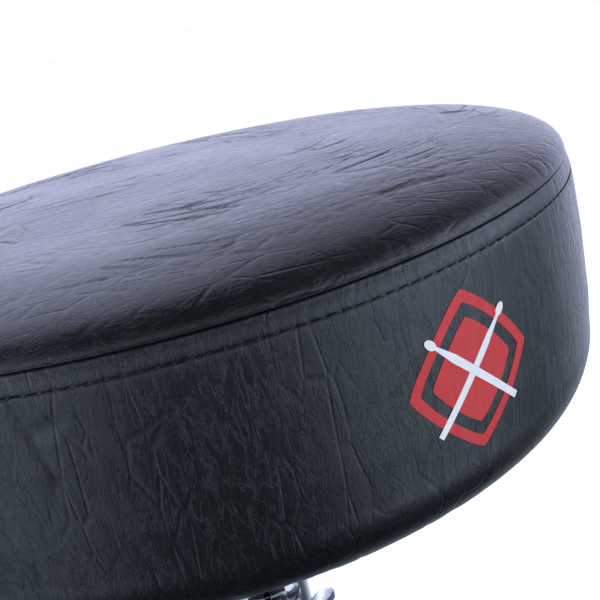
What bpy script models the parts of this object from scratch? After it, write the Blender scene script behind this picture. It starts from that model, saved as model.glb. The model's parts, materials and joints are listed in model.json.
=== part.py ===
"""Drum throne: a round padded seat on a height-adjustable post, held by a folding double-braced tripod.

Run with: blender --background --python part.py
Metres, +Z up, floor at z = 0. The origin is at floor level, under the middle of the outline box.
"""

from math import cos, pi, radians, sin

import bmesh
import bpy
from mathutils import Matrix, Vector

# ---------------------------------------------------------------- driving dimensions
GAP = 0.0003                # clearance between pieces that touch
RUNNING_GAP = 0.0004        # clearance beside a strip that turns

SEAM_R = 0.1650             # seat: radius at the top seam
SEAM_Z = 0.4650             # seat: height of the top seam at the lowest setting
CROWN_RISE = 0.01535        # the rolled shoulder's height above the seam
CROWN_RUN = 0.0515          # the rolled shoulder's width
DOME_RISE = 0.0033          # the slight dome of the top
BAND_DROP = 0.0942          # from the seam down to the underside
BAND_EDGE_R = 0.0250        # rounding where the side band turns under
VINYL = 0.0012
TURN_UNDER_R = 0.1050       # inner edge of the vinyl that is stapled under the board
BOARD_R = 0.1385
BOARD_T = 0.0120
COVER_T = 0.0008
COVER_HOLE_R = 0.0572       # hole in the dust cover, clear of the bracket
COVER_R = 0.1220
STITCH_DROP = 0.0066        # from the seam down to the row of stitches
STITCH_SWELL = 0.0013       # how far the side band stands out at the row of stitches
BAND_BULGE = 0.0015         # how far it stands out at its fullest
BULGE_DROP = 0.0300
LOWER_SWELL = 0.0005        # how far it still stands out lower down
LOWER_DROP = 0.0550
BAND_TAPER = 0.0010         # how far it draws in by the lower rounding
FOAM_DROP = 0.0030          # the foam's edge starts this far under the seam
PLATE_SIDE = 0.0840
PLATE_T = 0.0040
PLATE_CORNER_R = 0.0100
PLATE_HOLE_R = 0.0035
SEAT_BOLT_RING = 0.0460     # radius of the ring of bolts that hold the bracket
BOLT_HEAD_R = 0.0062
BOLT_HEAD_T = 0.0040
BOLT_SHORT = 0.0008         # a seat bolt ends this far under the board's top
TEE_BORE_R = 0.0033         # tee nuts in the board
TEE_BARREL_R = 0.0045
TEE_FLANGE_R = 0.0095
TEE_FLANGE_T = 0.0012
TEE_SHORT = 0.0022          # a tee nut's barrel ends this far above the board's underside
RECESS_R = 0.0099
RECESS_DEPTH = 0.0012
BARREL_HOLE_R = 0.0048
CUT_PAST = 0.0020           # how far a cutting shape passes the face that it cuts
SMALL_CUT_PAST = 0.0010
DRILL_REACH = 0.0200        # half the length of a drill that crosses a pair of ears

POST_R = 0.0127
POST_BORE = 0.0107
POST_BOTTOM = 0.1020
POST_TOP = 0.3674

TUBE_R = 0.0159
TUBE_BORE = 0.0141
TUBE_BOTTOM = 0.0480
TUBE_TOP = 0.2900

END_PLUG_UP = 0.0120        # how far the rubber plug goes up into the outer tube
END_PLUG_DOWN = 0.0045
END_PLUG_WALL = 0.0030
END_PLUG_CHAMFER = 0.0020
POST_PLUG_UP = 0.0130
POST_PLUG_DOWN = 0.0040
POST_PLUG_R = 0.0136
BUSHING_BORE = 0.0130
BUSHING_FLANGE_R = 0.0155
BUSHING_FLANGE_T = 0.0025

COLLAR_BOTTOM = 0.2620
COLLAR_TOP = 0.3020
COLLAR_BORE_LOW = 0.0162
COLLAR_BORE_HIGH = 0.0133
COLLAR_R = 0.0205
COLLAR_RIM = 0.0190
COLLAR_FOOT = 0.0195
COLLAR_LIP = 0.0028         # from the tube's end up to the collar's inner lip
COLLAR_CHAMFER = 0.0020
COLLAR_FOOT_CHAMFER = 0.0015
COLLAR_EARS = (0.0180, 0.0420, 0.2660, 0.2980)  # from and to, outwards and upwards
COLLAR_EAR_CORNER = 0.0070
COLLAR_CLAMP_Z = 0.2820
LOCK_BOTTOM = 0.3035
LOCK_TOP = 0.3205
LOCK_BORE = 0.0131
LOCK_R = 0.0192
LOCK_EAR_START = 0.0175
LOCK_EAR_END = 0.0350
LOCK_EAR_CORNER = 0.0050
LOCK_EAR_HALF = 0.0075
LOCK_SCREW_REACH = 0.0272
LOCK_SLIT_END = 0.0370
LOCK_SCREW_END = 0.0072     # the lock's square-headed screw, along its own axis
LOCK_SCREW_SEAT = 0.0078
LOCK_SCREW_FLANGE = 0.0098
LOCK_SCREW_KEY = 0.0150
TAB_INNER = 0.0150          # the tab that drops into the collar's notch
TAB_OUTER = 0.0188
TAB_HALF = 0.0028
TAB_DROP = 0.0045
NOTCH_INNER = 0.0100
NOTCH_OUTER = 0.0300
NOTCH_HALF = 0.0033
SOCKET_BOTTOM = 0.3260
SOCKET_BORE = 0.0132
SOCKET_R = 0.0182
BRACKET_EARS = (0.0165, 0.0420, 0.3300, 0.3600)
BRACKET_EAR_CORNER = 0.0060
BRACKET_CLAMP_Z = 0.3450
BRACKET_SLIT_TOP = 0.3630
SLIT_START = 0.0080
SLIT_END = 0.0440

SPREAD = radians(52.0)      # a leg's angle from the post when the tripod stands
LEG_BEARINGS = (90.0, 210.0, 330.0)
PIVOT_R = 0.0300            # pivots of legs and braces, from the post's axis
LINK = 0.0864               # hub pivot to brace pivot, and the brace's own length
UPPER_Z = 0.1780            # leg pivots
LOWER_Z = UPPER_Z - 2.0 * LINK * cos(SPREAD)
FOOT_PIN_Z = 0.0185
LEG_LENGTH = (UPPER_Z - FOOT_PIN_Z) / cos(SPREAD)
FOOT_REACH = PIVOT_R + LEG_LENGTH * sin(SPREAD)
SOLE_OFFSET = 0.0080        # the sole's middle, outwards from the foot pin
SOLE_R = 0.0155
SOLE_BOTTOM_R = 0.0140
SOLE_TOP_R = 0.0125
SOLE_EDGE_Z = 0.0030
SOLE_TOP_Z = 0.0080
TONGUE_R = 0.0075
TONGUE_ROOT = (-0.0040, 0.0170, 0.0040)     # from, to and height where the tongue meets the sole
LEG_HALF_WIDTH = 0.0080
BRACE_HALF_WIDTH = 0.0072
BRACE_INNER = 0.0042        # the strips' faces, from the leg's middle plane
BRACE_OUTER = 0.0068
LEG_INNER = 0.0072
LEG_OUTER = 0.0100
PIN_R = 0.0030
PIN_HOLE_R = 0.0033
PIN_HEAD_R = 0.0052
PIN_HEAD_T = 0.0018

HUB_HALF_HEIGHT = 0.0150
UPPER_BORE = 0.0164
UPPER_R = 0.0225
UPPER_LUG_R = 0.0090
LOWER_BORE = 0.0162
LOWER_R = 0.0215
LOWER_LUG_R = 0.0085
LOWER_DOWN = 0.0135         # the lower hub's ends, from its pivots
LOWER_UP = 0.0145
LUG_START = 0.0175
BOSS_R = 0.0085
BOSS_START = 0.0190
BOSS_END = 0.0310
HOLE_START = 0.0100         # a radial hole starts inside the hub's bore
LOWER_HOLE_END = 0.0300
UPPER_HOLE_END = 0.0400
SPACER_R = 0.0055
SET_SCREW_TIP = 0.0163      # the lower hub's screw, outwards from the post's axis
SET_SCREW_SEAT = 0.0220
SET_SCREW_RIM = 0.0252
SET_SCREW_END = 0.0265
SET_SCREW_TOP_R = 0.0042
WING_SCREW_TIP = 0.0168     # the upper hub's wing screw, outwards from the post's axis
WING_SCREW_HUB = ((0.0430, 0.0060), (0.0400, 0.0076), (0.0335, 0.0082))

BOLT_REACH = 0.0180         # a clamp bolt's end, beyond the ears
CLAMP_HEAD_R = 0.0070
CLAMP_HEAD_RIM = 0.0030
CLAMP_HEAD_TOP_R = 0.0045
CLAMP_HEAD_T = 0.0048
WASHER_BORE = 0.0043
WASHER_R = 0.0080
WASHER_T = 0.0014
NUT_HUB = ((0.0100, 0.0062), (0.0030, 0.0076), (0.0000, 0.0082))  # height and radius, from the tip down
NUT_WING_ROOT = 0.0016
NUT_DRILL = 0.0300
WING_REACH = 0.0220
WING_HALF_T = 0.0016
WING_TIP_R = 0.0042
WING_HUB_END = 0.0030
WING_HUB_EDGE = 0.0070
WING_TOP_EDGE = 0.0080
WING_RISE = (0.0015, 0.0000, 0.0095, 0.0140, 0.0105, 0.0075)   # heights along a wing's outline
SCREW_WING_ROOT = 0.0345
CLAMP_SCREW_R = 0.0040
CLAMP_HOLE_R = 0.0044
EAR_HALF = 0.0085           # half the width of a pair of clamp ears
SLIT_HALF = 0.00125
CLAMP_REACH = 0.0330        # clamp screw, from the post's axis
COLLAR_BEARING = -90.0
HUB_WING_BEARING = 30.0
HUB_SCREW_BEARING = 150.0
LOCK_BEARING = 180.0

# the post stands off the origin, so that the outline box is centred on it
AXIS_Y = 0.5 * (SEAM_R + BAND_BULGE - FOOT_REACH - SOLE_OFFSET - SOLE_R)

SEAT_SIDES = 32
TUBE_SIDES = 24
SMALL_SIDES = 10


# ---------------------------------------------------------------- materials
FINISHES = {
    "black_vinyl": ((0.020, 0.021, 0.026), 0.38, 0.0),
    "seat_foam": ((0.80, 0.72, 0.45), 0.95, 0.0),
    "plywood": ((0.55, 0.38, 0.20), 0.70, 0.0),
    "black_cloth": ((0.03, 0.03, 0.03), 0.95, 0.0),
    "chrome": ((0.80, 0.80, 0.82), 0.08, 1.0),
    "zinc": ((0.62, 0.62, 0.60), 0.35, 1.0),
    "black_nylon": ((0.03, 0.03, 0.03), 0.55, 0.0),
    "black_rubber": ((0.02, 0.02, 0.02), 0.80, 0.0),
}


def finish(name):
    material = bpy.data.materials.get(name)
    if material is None:
        color, roughness, metallic = FINISHES[name]
        material = bpy.data.materials.new(name)
        material.use_nodes = True
        shader = material.node_tree.nodes["Principled BSDF"]
        shader.inputs["Base Color"].default_value = (*color, 1.0)
        shader.inputs["Roughness"].default_value = roughness
        shader.inputs["Metallic"].default_value = metallic
    return material


# ---------------------------------------------------------------- modelling helpers
def empty(name, parent=None, location=(0.0, 0.0, 0.0), rotation=(0.0, 0.0, 0.0)):
    """A pivot that pieces are parented to."""
    pivot = bpy.data.objects.new(name, None)
    bpy.context.scene.collection.objects.link(pivot)
    pivot.parent = parent
    pivot.location = location
    pivot.rotation_euler = rotation
    return pivot


def add_object(name, shape, material, parent, location=(0.0, 0.0, 0.0), rotation=(0.0, 0.0, 0.0)):
    """Turn a bmesh into a named object and free the bmesh."""
    bmesh.ops.recalc_face_normals(shape, faces=shape.faces)
    mesh = bpy.data.meshes.new(name)
    shape.to_mesh(mesh)
    shape.free()
    mesh.shade_smooth()
    mesh.set_sharp_from_angle(angle=radians(35.0))
    mesh.materials.append(finish(material))
    piece = bpy.data.objects.new(name, mesh)
    bpy.context.scene.collection.objects.link(piece)
    piece.parent = parent
    piece.location = location
    piece.rotation_euler = rotation
    return piece


def turned_shape(outline, sides):
    """Spin (radius, height) points about Z. A ring's outline closes; one that ends on the axis is solid."""
    shape = bmesh.new()
    points = [shape.verts.new((r, 0.0, z)) for r, z in outline]
    edges = [shape.edges.new(pair) for pair in zip(points, points[1:])]
    on_axis = outline[0][0] == 0.0 and outline[-1][0] == 0.0
    if not on_axis:
        edges.append(shape.edges.new((points[-1], points[0])))
    axis = {"cent": (0, 0, 0), "axis": (0, 0, 1)}
    bmesh.ops.spin(shape, geom=points + edges, angle=2.0 * pi, steps=sides, use_duplicate=False, **axis)
    bmesh.ops.remove_doubles(shape, verts=shape.verts, dist=0.000002)
    return shape


def turned(name, outline, material, parent, sides=TUBE_SIDES, **place):
    return add_object(name, turned_shape(outline, sides), material, parent, **place)


def tube_outline(bore, radius, low, high):
    return [(radius, high), (radius, low), (bore, low), (bore, high)]


def flat_shape(loops, low, high):
    """A plate in the XZ plane between y = low and y = high. The first loop is its edge, others are holes."""
    shape = bmesh.new()
    edges = []
    for loop in loops:
        points = [shape.verts.new((x, low, z)) for x, z in loop]
        edges += [shape.edges.new(pair) for pair in zip(points, points[1:] + points[:1])]
    faces = bmesh.ops.triangle_fill(shape, use_beauty=True, use_dissolve=False, edges=edges)["geom"]
    skin = [item for item in faces if isinstance(item, bmesh.types.BMFace)]
    grown = bmesh.ops.extrude_face_region(shape, geom=skin, use_keep_orig=True)["geom"]
    moved = [item for item in grown if isinstance(item, bmesh.types.BMVert)]
    bmesh.ops.translate(shape, verts=moved, vec=(0.0, high - low, 0.0))
    return shape


def circle(x, z, radius, sides=10):
    angles = [2 * pi * i / sides for i in range(sides)]
    return [(x + radius * cos(a), z + radius * sin(a)) for a in angles]


def arc(x, z, radius, start, end, steps):
    """Points along an arc, from the start to the end angle in degrees."""
    angles = [radians(start + (end - start) * i / steps) for i in range(steps + 1)]
    return [(x + radius * cos(a), z + radius * sin(a)) for a in angles]


def rounded_bar(length, half_width, steps=6):
    """The outline of a flat bar whose round ends are centred on x = 0 and x = length."""
    return arc(length, 0.0, half_width, -90, 90, steps) + arc(0.0, 0.0, half_width, 90, 270, steps)


def rounded_box(low_x, high_x, low_z, high_z, radius, steps=3):
    corners = (
        (high_x - radius, high_z - radius, 0),
        (low_x + radius, high_z - radius, 90),
        (low_x + radius, low_z + radius, 180),
        (high_x - radius, low_z + radius, 270),
    )
    return [point for x, z, start in corners for point in arc(x, z, radius, start, start + 90, steps)]


def tool(name, shape, parent, **place):
    """A guide shape for a Boolean; it isn't a piece of the throne."""
    guide = add_object(name, shape, "zinc", parent, **place)
    guide.hide_render = True
    guide.display_type = "WIRE"
    return guide


def combine(piece, guide, operation):
    step = piece.modifiers.new(guide.name, "BOOLEAN")
    step.operation = operation
    step.solver = "EXACT"
    step.object = guide


def box_shape(low, high):
    shape = bmesh.new()
    bmesh.ops.create_cube(shape, size=1.0)
    size = Vector(high) - Vector(low)
    middle = (Vector(high) + Vector(low)) / 2.0
    bmesh.ops.scale(shape, verts=shape.verts, vec=size)
    bmesh.ops.translate(shape, verts=shape.verts, vec=middle)
    return shape


def rod_shape(radius, start, end, sides=SMALL_SIDES):
    """A solid rod between two points."""
    start = Vector(start)
    along = Vector(end) - start
    shape = turned_shape([(0.0, along.length), (radius, along.length), (radius, 0.0), (0.0, 0.0)], sides)
    turn = Vector((0.0, 0.0, 1.0)).rotation_difference(along)
    bmesh.ops.rotate(shape, verts=shape.verts, cent=(0, 0, 0), matrix=turn.to_matrix())
    bmesh.ops.translate(shape, verts=shape.verts, vec=start)
    return shape


def turn_shape(shape, degrees, axis):
    turn = Matrix.Rotation(radians(degrees), 3, axis)
    bmesh.ops.rotate(shape, verts=shape.verts, cent=(0, 0, 0), matrix=turn)


def bearing(degrees):
    return (0.0, 0.0, radians(degrees))


def pin_outline(half_grip, shoulder=None):
    """A headed pin along Z, with a thicker spacer in the middle where one is asked for."""
    head = half_grip + PIN_HEAD_T
    side = [(PIN_HEAD_R * 0.7, head), (PIN_HEAD_R, half_grip), (PIN_R, half_grip)]
    if shoulder:
        spacer_r, spacer_half = shoulder
        side += [(PIN_R, spacer_half), (spacer_r, spacer_half)]
    mirrored = [(r, -z) for r, z in reversed(side)]
    return [(0.0, head)] + side + mirrored + [(0.0, -head)]


# ---------------------------------------------------------------- seat
def crown_points(inset, steps=6):
    """The top's curve from the seam to the axis, moved inwards by inset."""
    edge = SEAM_R - inset
    points = []
    for i in range(steps + 1):
        angle = 0.5 * pi * i / steps
        radius = (SEAM_R - CROWN_RUN) + (CROWN_RUN - inset) * cos(angle)
        height = (CROWN_RISE - inset) * sin(angle) + DOME_RISE * (1.0 - (radius / edge) ** 2)
        points.append((radius, SEAM_Z + height))
    flat_edge = SEAM_R - CROWN_RUN
    radius = flat_edge * 0.5
    points.append((radius, SEAM_Z + CROWN_RISE - inset + DOME_RISE * (1.0 - (radius / edge) ** 2)))
    points.append((0.0, SEAM_Z + CROWN_RISE - inset + DOME_RISE))
    return points


def band_points(inset, top_drop, inner_r):
    """The side's curve from just under the seam, down and round under the board, moved inwards by inset."""
    arc_r = BAND_EDGE_R - inset
    turn_r = SEAM_R - BAND_TAPER - BAND_EDGE_R
    turn_z = SEAM_Z - BAND_DROP + BAND_EDGE_R
    side = [
        (SEAM_R - inset, SEAM_Z - top_drop),
        (SEAM_R + STITCH_SWELL - inset, SEAM_Z - STITCH_DROP),
        (SEAM_R + BAND_BULGE - inset, SEAM_Z - BULGE_DROP),
        (SEAM_R + LOWER_SWELL - inset, SEAM_Z - LOWER_DROP),
    ]
    return side + arc(turn_r, turn_z, arc_r, 0, -90, 5) + [(inner_r, SEAM_Z - BAND_DROP + inset)]


def make_seat(parent):
    top = crown_points(0.0)
    inside = crown_points(VINYL)
    turned("seat_top_panel", list(reversed(top)) + inside, "black_vinyl", parent, SEAT_SIDES)

    outer = band_points(0.0, GAP, TURN_UNDER_R)
    inner = band_points(VINYL, GAP, TURN_UNDER_R)
    turned("seat_side_band", outer + list(reversed(inner)), "black_vinyl", parent, SEAT_SIDES)

    board_low = SEAM_Z - BAND_DROP + VINYL + GAP
    board_high = board_low + BOARD_T
    skin = VINYL + GAP
    foam = list(reversed(crown_points(skin))) + band_points(skin, FOAM_DROP, BOARD_R + GAP)
    foam += [(BOARD_R + GAP, board_high + GAP), (0.0, board_high + GAP)]
    turned("seat_foam", foam, "seat_foam", parent, SEAT_SIDES)

    board_outline = [(0.0, board_high), (BOARD_R, board_high), (BOARD_R, board_low), (0.0, board_low)]
    board = turned("seat_board", board_outline, "plywood", parent, SEAT_SIDES)
    cover_high = SEAM_Z - BAND_DROP - GAP
    cover = tube_outline(COVER_HOLE_R, COVER_R, cover_high - COVER_T, cover_high)
    turned("seat_dust_cover", cover, "black_cloth", parent, SEAT_SIDES)

    plate_low = board_low - GAP - PLATE_T
    for number in range(1, 5):
        angle = 0.5 * pi * number
        spot = (SEAT_BOLT_RING * cos(angle), SEAT_BOLT_RING * sin(angle), 0.0)
        tee_top = board_high - GAP
        flange_low = tee_top - TEE_FLANGE_T
        barrel_low = board_low + TEE_SHORT
        tee_nut = [(TEE_BORE_R, tee_top), (TEE_FLANGE_R, tee_top), (TEE_FLANGE_R, flange_low)]
        tee_nut += [(TEE_BARREL_R, flange_low), (TEE_BARREL_R, barrel_low), (TEE_BORE_R, barrel_low)]
        turned(f"tee_nut_{number}", tee_nut, "zinc", parent, SMALL_SIDES, location=spot)
        recess_low = (0, 0, board_high - GAP - RECESS_DEPTH - GAP)
        recess = rod_shape(RECESS_R, recess_low, (0, 0, board_high + CUT_PAST), 16)
        combine(board, tool(f"cut_recess_{number}", recess, parent, location=spot), "DIFFERENCE")
        hole = rod_shape(BARREL_HOLE_R, (0, 0, board_low - CUT_PAST), (0, 0, board_high), SMALL_SIDES)
        combine(board, tool(f"cut_hole_{number}", hole, parent, location=spot), "DIFFERENCE")

        head_high = plate_low - GAP
        head_low = head_high - BOLT_HEAD_T
        bolt = [(0.0, board_high - BOLT_SHORT), (PIN_R, board_high - BOLT_SHORT), (PIN_R, head_high)]
        bolt += [(BOLT_HEAD_R, head_high), (BOLT_HEAD_R, head_low), (0.0, head_low)]
        turned(f"seat_bolt_{number}", bolt, "zinc", parent, SMALL_SIDES, location=spot)
    make_seat_bracket(parent, plate_low)


def make_seat_bracket(parent, plate_low):
    """A plate welded to a split socket that clamps on the top of the post."""
    half = PLATE_SIDE / 2.0
    plate_edge = rounded_box(-half, half, -half, half, PLATE_CORNER_R)
    holes = []
    for number in range(4):
        angle = 0.5 * pi * number - 0.25 * pi
        holes.append(circle(SEAT_BOLT_RING * cos(angle), SEAT_BOLT_RING * sin(angle), PLATE_HOLE_R))
    plate = flat_shape([plate_edge] + holes, 0.0, PLATE_T)
    turn_shape(plate, 90.0, "X")
    turn_shape(plate, 45.0, "Z")
    bmesh.ops.translate(plate, verts=plate.verts, vec=(0.0, 0.0, plate_low))
    bracket = add_object("seat_bracket", plate, "zinc", parent)

    socket_outline = tube_outline(SOCKET_BORE, SOCKET_R, SOCKET_BOTTOM, plate_low + SMALL_CUT_PAST)
    socket = turned_shape(socket_outline, TUBE_SIDES)
    combine(bracket, tool("add_socket", socket, parent), "UNION")
    ears = flat_shape([rounded_box(*BRACKET_EARS, BRACKET_EAR_CORNER)], -EAR_HALF, EAR_HALF)
    combine(bracket, tool("add_bracket_ears", ears, parent, rotation=bearing(COLLAR_BEARING)), "UNION")
    slit_low = (SLIT_START, -SLIT_HALF, SOCKET_BOTTOM - SMALL_CUT_PAST)
    slit = box_shape(slit_low, (SLIT_END, SLIT_HALF, BRACKET_SLIT_TOP))
    combine(bracket, tool("cut_bracket_slit", slit, parent, rotation=bearing(COLLAR_BEARING)), "DIFFERENCE")
    across = drill_across(CLAMP_HOLE_R, CLAMP_REACH, BRACKET_CLAMP_Z)
    combine(bracket, tool("cut_bracket_hole", across, parent, rotation=bearing(COLLAR_BEARING)), "DIFFERENCE")


# ---------------------------------------------------------------- clamps
def drill_across(radius, reach, height):
    """A drill along Y through a pair of ears."""
    return rod_shape(radius, (reach, -DRILL_REACH, height), (reach, DRILL_REACH, height))


def make_clamp_bolt(name, parent):
    """A headed bolt along Y through a pair of ears, with its end towards +Y."""
    head = EAR_HALF + GAP
    tip = head + BOLT_REACH
    outline = [(0.0, tip), (CLAMP_SCREW_R, tip), (CLAMP_SCREW_R, -head)]
    outline += [(CLAMP_HEAD_R, -head), (CLAMP_HEAD_R, -head - CLAMP_HEAD_RIM)]
    outline += [(CLAMP_HEAD_TOP_R, -head - CLAMP_HEAD_T), (0.0, -head - CLAMP_HEAD_T)]
    return turned(name, outline, "zinc", parent, rotation=(radians(-90.0), 0.0, 0.0), sides=16)


def make_washer(name, parent):
    low = EAR_HALF + GAP
    outline = tube_outline(WASHER_BORE, WASHER_R, low, low + WASHER_T)
    return turned(name, outline, "zinc", parent, sides=16, rotation=(radians(-90.0), 0.0, 0.0))


def wing_blade(reach, root):
    """One wing of a wing nut: it rises outwards from the hub in the XZ plane."""
    foot, edge, side, tip, top, back = (root + rise for rise in WING_RISE)
    outline = [(WING_HUB_END, foot), (WING_HUB_EDGE, edge), (reach - WING_HUB_END, side)]
    outline += arc(reach - WING_TIP_R, tip, WING_TIP_R, -50, 130, 5)
    outline += [(WING_TOP_EDGE, top), (WING_HUB_END, back)]
    return flat_shape([outline], -WING_HALF_T, WING_HALF_T)


def add_wings(piece, name, parent, root, **place):
    for side in (0, 180):
        blade = wing_blade(WING_REACH, root)
        turn_shape(blade, side, "Z")
        combine(piece, tool(f"add_{name}_{side}", blade, parent, **place), "UNION")


def make_wing_nut(name, parent):
    """A wing nut on a clamp bolt: its bore and hub are turned about the bolt."""
    low = EAR_HALF + 2.0 * GAP + WASHER_T
    hub = [(0.0, low + NUT_HUB[0][0])] + [(radius, low + height) for height, radius in NUT_HUB] + [(0.0, low)]
    turn = (radians(-90.0), 0.0, 0.0)
    nut = turned(name, hub, "chrome", parent, sides=20, rotation=turn)
    add_wings(nut, name, parent, low + NUT_WING_ROOT, rotation=turn)
    bore = rod_shape(WASHER_BORE, (0, 0, low - CUT_PAST), (0, 0, low + NUT_DRILL), 16)
    combine(nut, tool(f"cut_{name}_bore", bore, parent, rotation=turn), "DIFFERENCE")
    return nut


def make_clamp_fasteners(prefix, parent, height, degrees):
    """The bolt, washer and wing nut of one pair of clamp ears."""
    turn = radians(degrees)
    pivot = empty(f"{prefix}_clamp_axis", parent, (CLAMP_REACH * cos(turn), CLAMP_REACH * sin(turn), height),
                  (0.0, 0.0, turn))
    make_clamp_bolt(f"{prefix}_clamp_bolt", pivot)
    make_washer(f"{prefix}_washer", pivot)
    make_wing_nut(f"{prefix}_wing_nut", pivot)


# ---------------------------------------------------------------- post and column
def make_post(parent):
    turned("seat_post", tube_outline(POST_BORE, POST_R, POST_BOTTOM, POST_TOP), "chrome", parent)
    plug_high = POST_BOTTOM + POST_PLUG_UP
    plug_low = POST_BOTTOM - POST_PLUG_DOWN
    plug = [(0.0, plug_high), (POST_BORE - GAP, plug_high), (POST_BORE - GAP, POST_BOTTOM - GAP)]
    plug += [(POST_PLUG_R, POST_BOTTOM - GAP), (POST_PLUG_R, plug_low), (0.0, plug_low)]
    turned("post_end_plug", plug, "black_nylon", parent)

    ring = turned("memory_lock", tube_outline(LOCK_BORE, LOCK_R, LOCK_BOTTOM, LOCK_TOP), "chrome", parent)
    turn = bearing(LOCK_BEARING)
    ear = rounded_box(LOCK_EAR_START, LOCK_EAR_END, LOCK_BOTTOM, LOCK_TOP, LOCK_EAR_CORNER)
    ears = flat_shape([ear], -LOCK_EAR_HALF, LOCK_EAR_HALF)
    combine(ring, tool("add_lock_ears", ears, parent, rotation=turn), "UNION")
    tab_low = (TAB_INNER, -TAB_HALF, LOCK_BOTTOM - TAB_DROP)
    tab = box_shape(tab_low, (TAB_OUTER, TAB_HALF, LOCK_BOTTOM + CUT_PAST))
    combine(ring, tool("add_lock_tab", tab, parent, rotation=bearing(LOCK_BEARING + 180.0)), "UNION")
    slit_low = (SLIT_START, -SLIT_HALF, LOCK_BOTTOM - SMALL_CUT_PAST)
    slit = box_shape(slit_low, (LOCK_SLIT_END, SLIT_HALF, LOCK_TOP + SMALL_CUT_PAST))
    combine(ring, tool("cut_lock_slit", slit, parent, rotation=turn), "DIFFERENCE")
    middle = 0.5 * (LOCK_BOTTOM + LOCK_TOP)
    across = drill_across(PIN_HOLE_R, LOCK_SCREW_REACH, middle)
    combine(ring, tool("cut_lock_hole", across, parent, rotation=turn), "DIFFERENCE")

    pivot = empty("lock_screw_axis", parent, (-LOCK_SCREW_REACH, 0.0, middle), turn)
    screw = [(0.0, LOCK_SCREW_END), (PIN_R, LOCK_SCREW_END), (PIN_R, -LOCK_SCREW_SEAT)]
    screw += [(PIN_HEAD_R, -LOCK_SCREW_SEAT), (PIN_HEAD_R, -LOCK_SCREW_FLANGE), (PIN_R, -LOCK_SCREW_FLANGE)]
    screw += [(PIN_R, -LOCK_SCREW_KEY), (0.0, -LOCK_SCREW_KEY)]
    turned("memory_lock_screw", screw, "zinc", pivot, SMALL_SIDES, rotation=(radians(-90.0), 0.0, 0.0))


def make_column(parent):
    turned("outer_tube", tube_outline(TUBE_BORE, TUBE_R, TUBE_BOTTOM, TUBE_TOP), "chrome", parent)
    plug_low = TUBE_BOTTOM - END_PLUG_DOWN
    plug = [(0.0, TUBE_BOTTOM + END_PLUG_UP), (TUBE_BORE - GAP, TUBE_BOTTOM + END_PLUG_UP)]
    plug += [(TUBE_BORE - GAP, TUBE_BOTTOM - GAP), (TUBE_R, TUBE_BOTTOM - GAP)]
    plug += [(TUBE_R, TUBE_BOTTOM - END_PLUG_WALL), (TUBE_R - END_PLUG_CHAMFER, plug_low), (0.0, plug_low)]
    turned("tube_end_plug", plug, "black_rubber", parent)

    flange_high = TUBE_TOP + BUSHING_FLANGE_T
    sleeve = TUBE_BORE - GAP
    bush = [(BUSHING_BORE, flange_high), (BUSHING_FLANGE_R, flange_high), (BUSHING_FLANGE_R, TUBE_TOP + GAP)]
    bush += [(sleeve, TUBE_TOP + GAP), (sleeve, COLLAR_BOTTOM), (BUSHING_BORE, COLLAR_BOTTOM)]
    turned("post_bushing", bush, "black_nylon", parent)

    lip_z = TUBE_TOP + COLLAR_LIP
    ring = [(COLLAR_BORE_HIGH, COLLAR_TOP), (COLLAR_RIM, COLLAR_TOP), (COLLAR_R, COLLAR_TOP - COLLAR_CHAMFER)]
    ring += [(COLLAR_R, COLLAR_BOTTOM + COLLAR_FOOT_CHAMFER), (COLLAR_FOOT, COLLAR_BOTTOM)]
    ring += [(COLLAR_BORE_LOW, COLLAR_BOTTOM), (COLLAR_BORE_LOW, lip_z), (COLLAR_BORE_HIGH, lip_z)]
    collar = turned("height_collar", ring, "chrome", parent)
    turn = bearing(COLLAR_BEARING)
    ears = flat_shape([rounded_box(*COLLAR_EARS, COLLAR_EAR_CORNER)], -EAR_HALF, EAR_HALF)
    combine(collar, tool("add_collar_ears", ears, parent, rotation=turn), "UNION")
    slit_low = (SLIT_START, -SLIT_HALF, COLLAR_BOTTOM - SMALL_CUT_PAST)
    slit = box_shape(slit_low, (SLIT_END, SLIT_HALF, COLLAR_TOP + SMALL_CUT_PAST))
    combine(collar, tool("cut_collar_slit", slit, parent, rotation=turn), "DIFFERENCE")
    across = drill_across(CLAMP_HOLE_R, CLAMP_REACH, COLLAR_CLAMP_Z)
    combine(collar, tool("cut_collar_hole", across, parent, rotation=turn), "DIFFERENCE")
    notch_low = (NOTCH_INNER, -NOTCH_HALF, COLLAR_TOP - TAB_DROP)
    notch = box_shape(notch_low, (NOTCH_OUTER, NOTCH_HALF, COLLAR_TOP + CUT_PAST))
    guide = tool("cut_lock_notch", notch, parent, rotation=bearing(LOCK_BEARING + 180.0))
    combine(collar, guide, "DIFFERENCE")


# ---------------------------------------------------------------- tripod
def add_lugs(hub, parent, height, boss_r, half_thickness):
    """Three tongues on a hub, each with a round end and a pin hole."""
    for number, degrees in enumerate(LEG_BEARINGS, start=1):
        lug = [(LUG_START, -boss_r)] + arc(PIVOT_R, 0.0, boss_r, -90, 90, 8) + [(LUG_START, boss_r)]
        shape = flat_shape([lug, circle(PIVOT_R, 0.0, PIN_HOLE_R)], -half_thickness, half_thickness)
        spot = {"location": (0, 0, height), "rotation": bearing(degrees)}
        combine(hub, tool(f"add_{hub.name}_{number}", shape, parent, **spot), "UNION")


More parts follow.
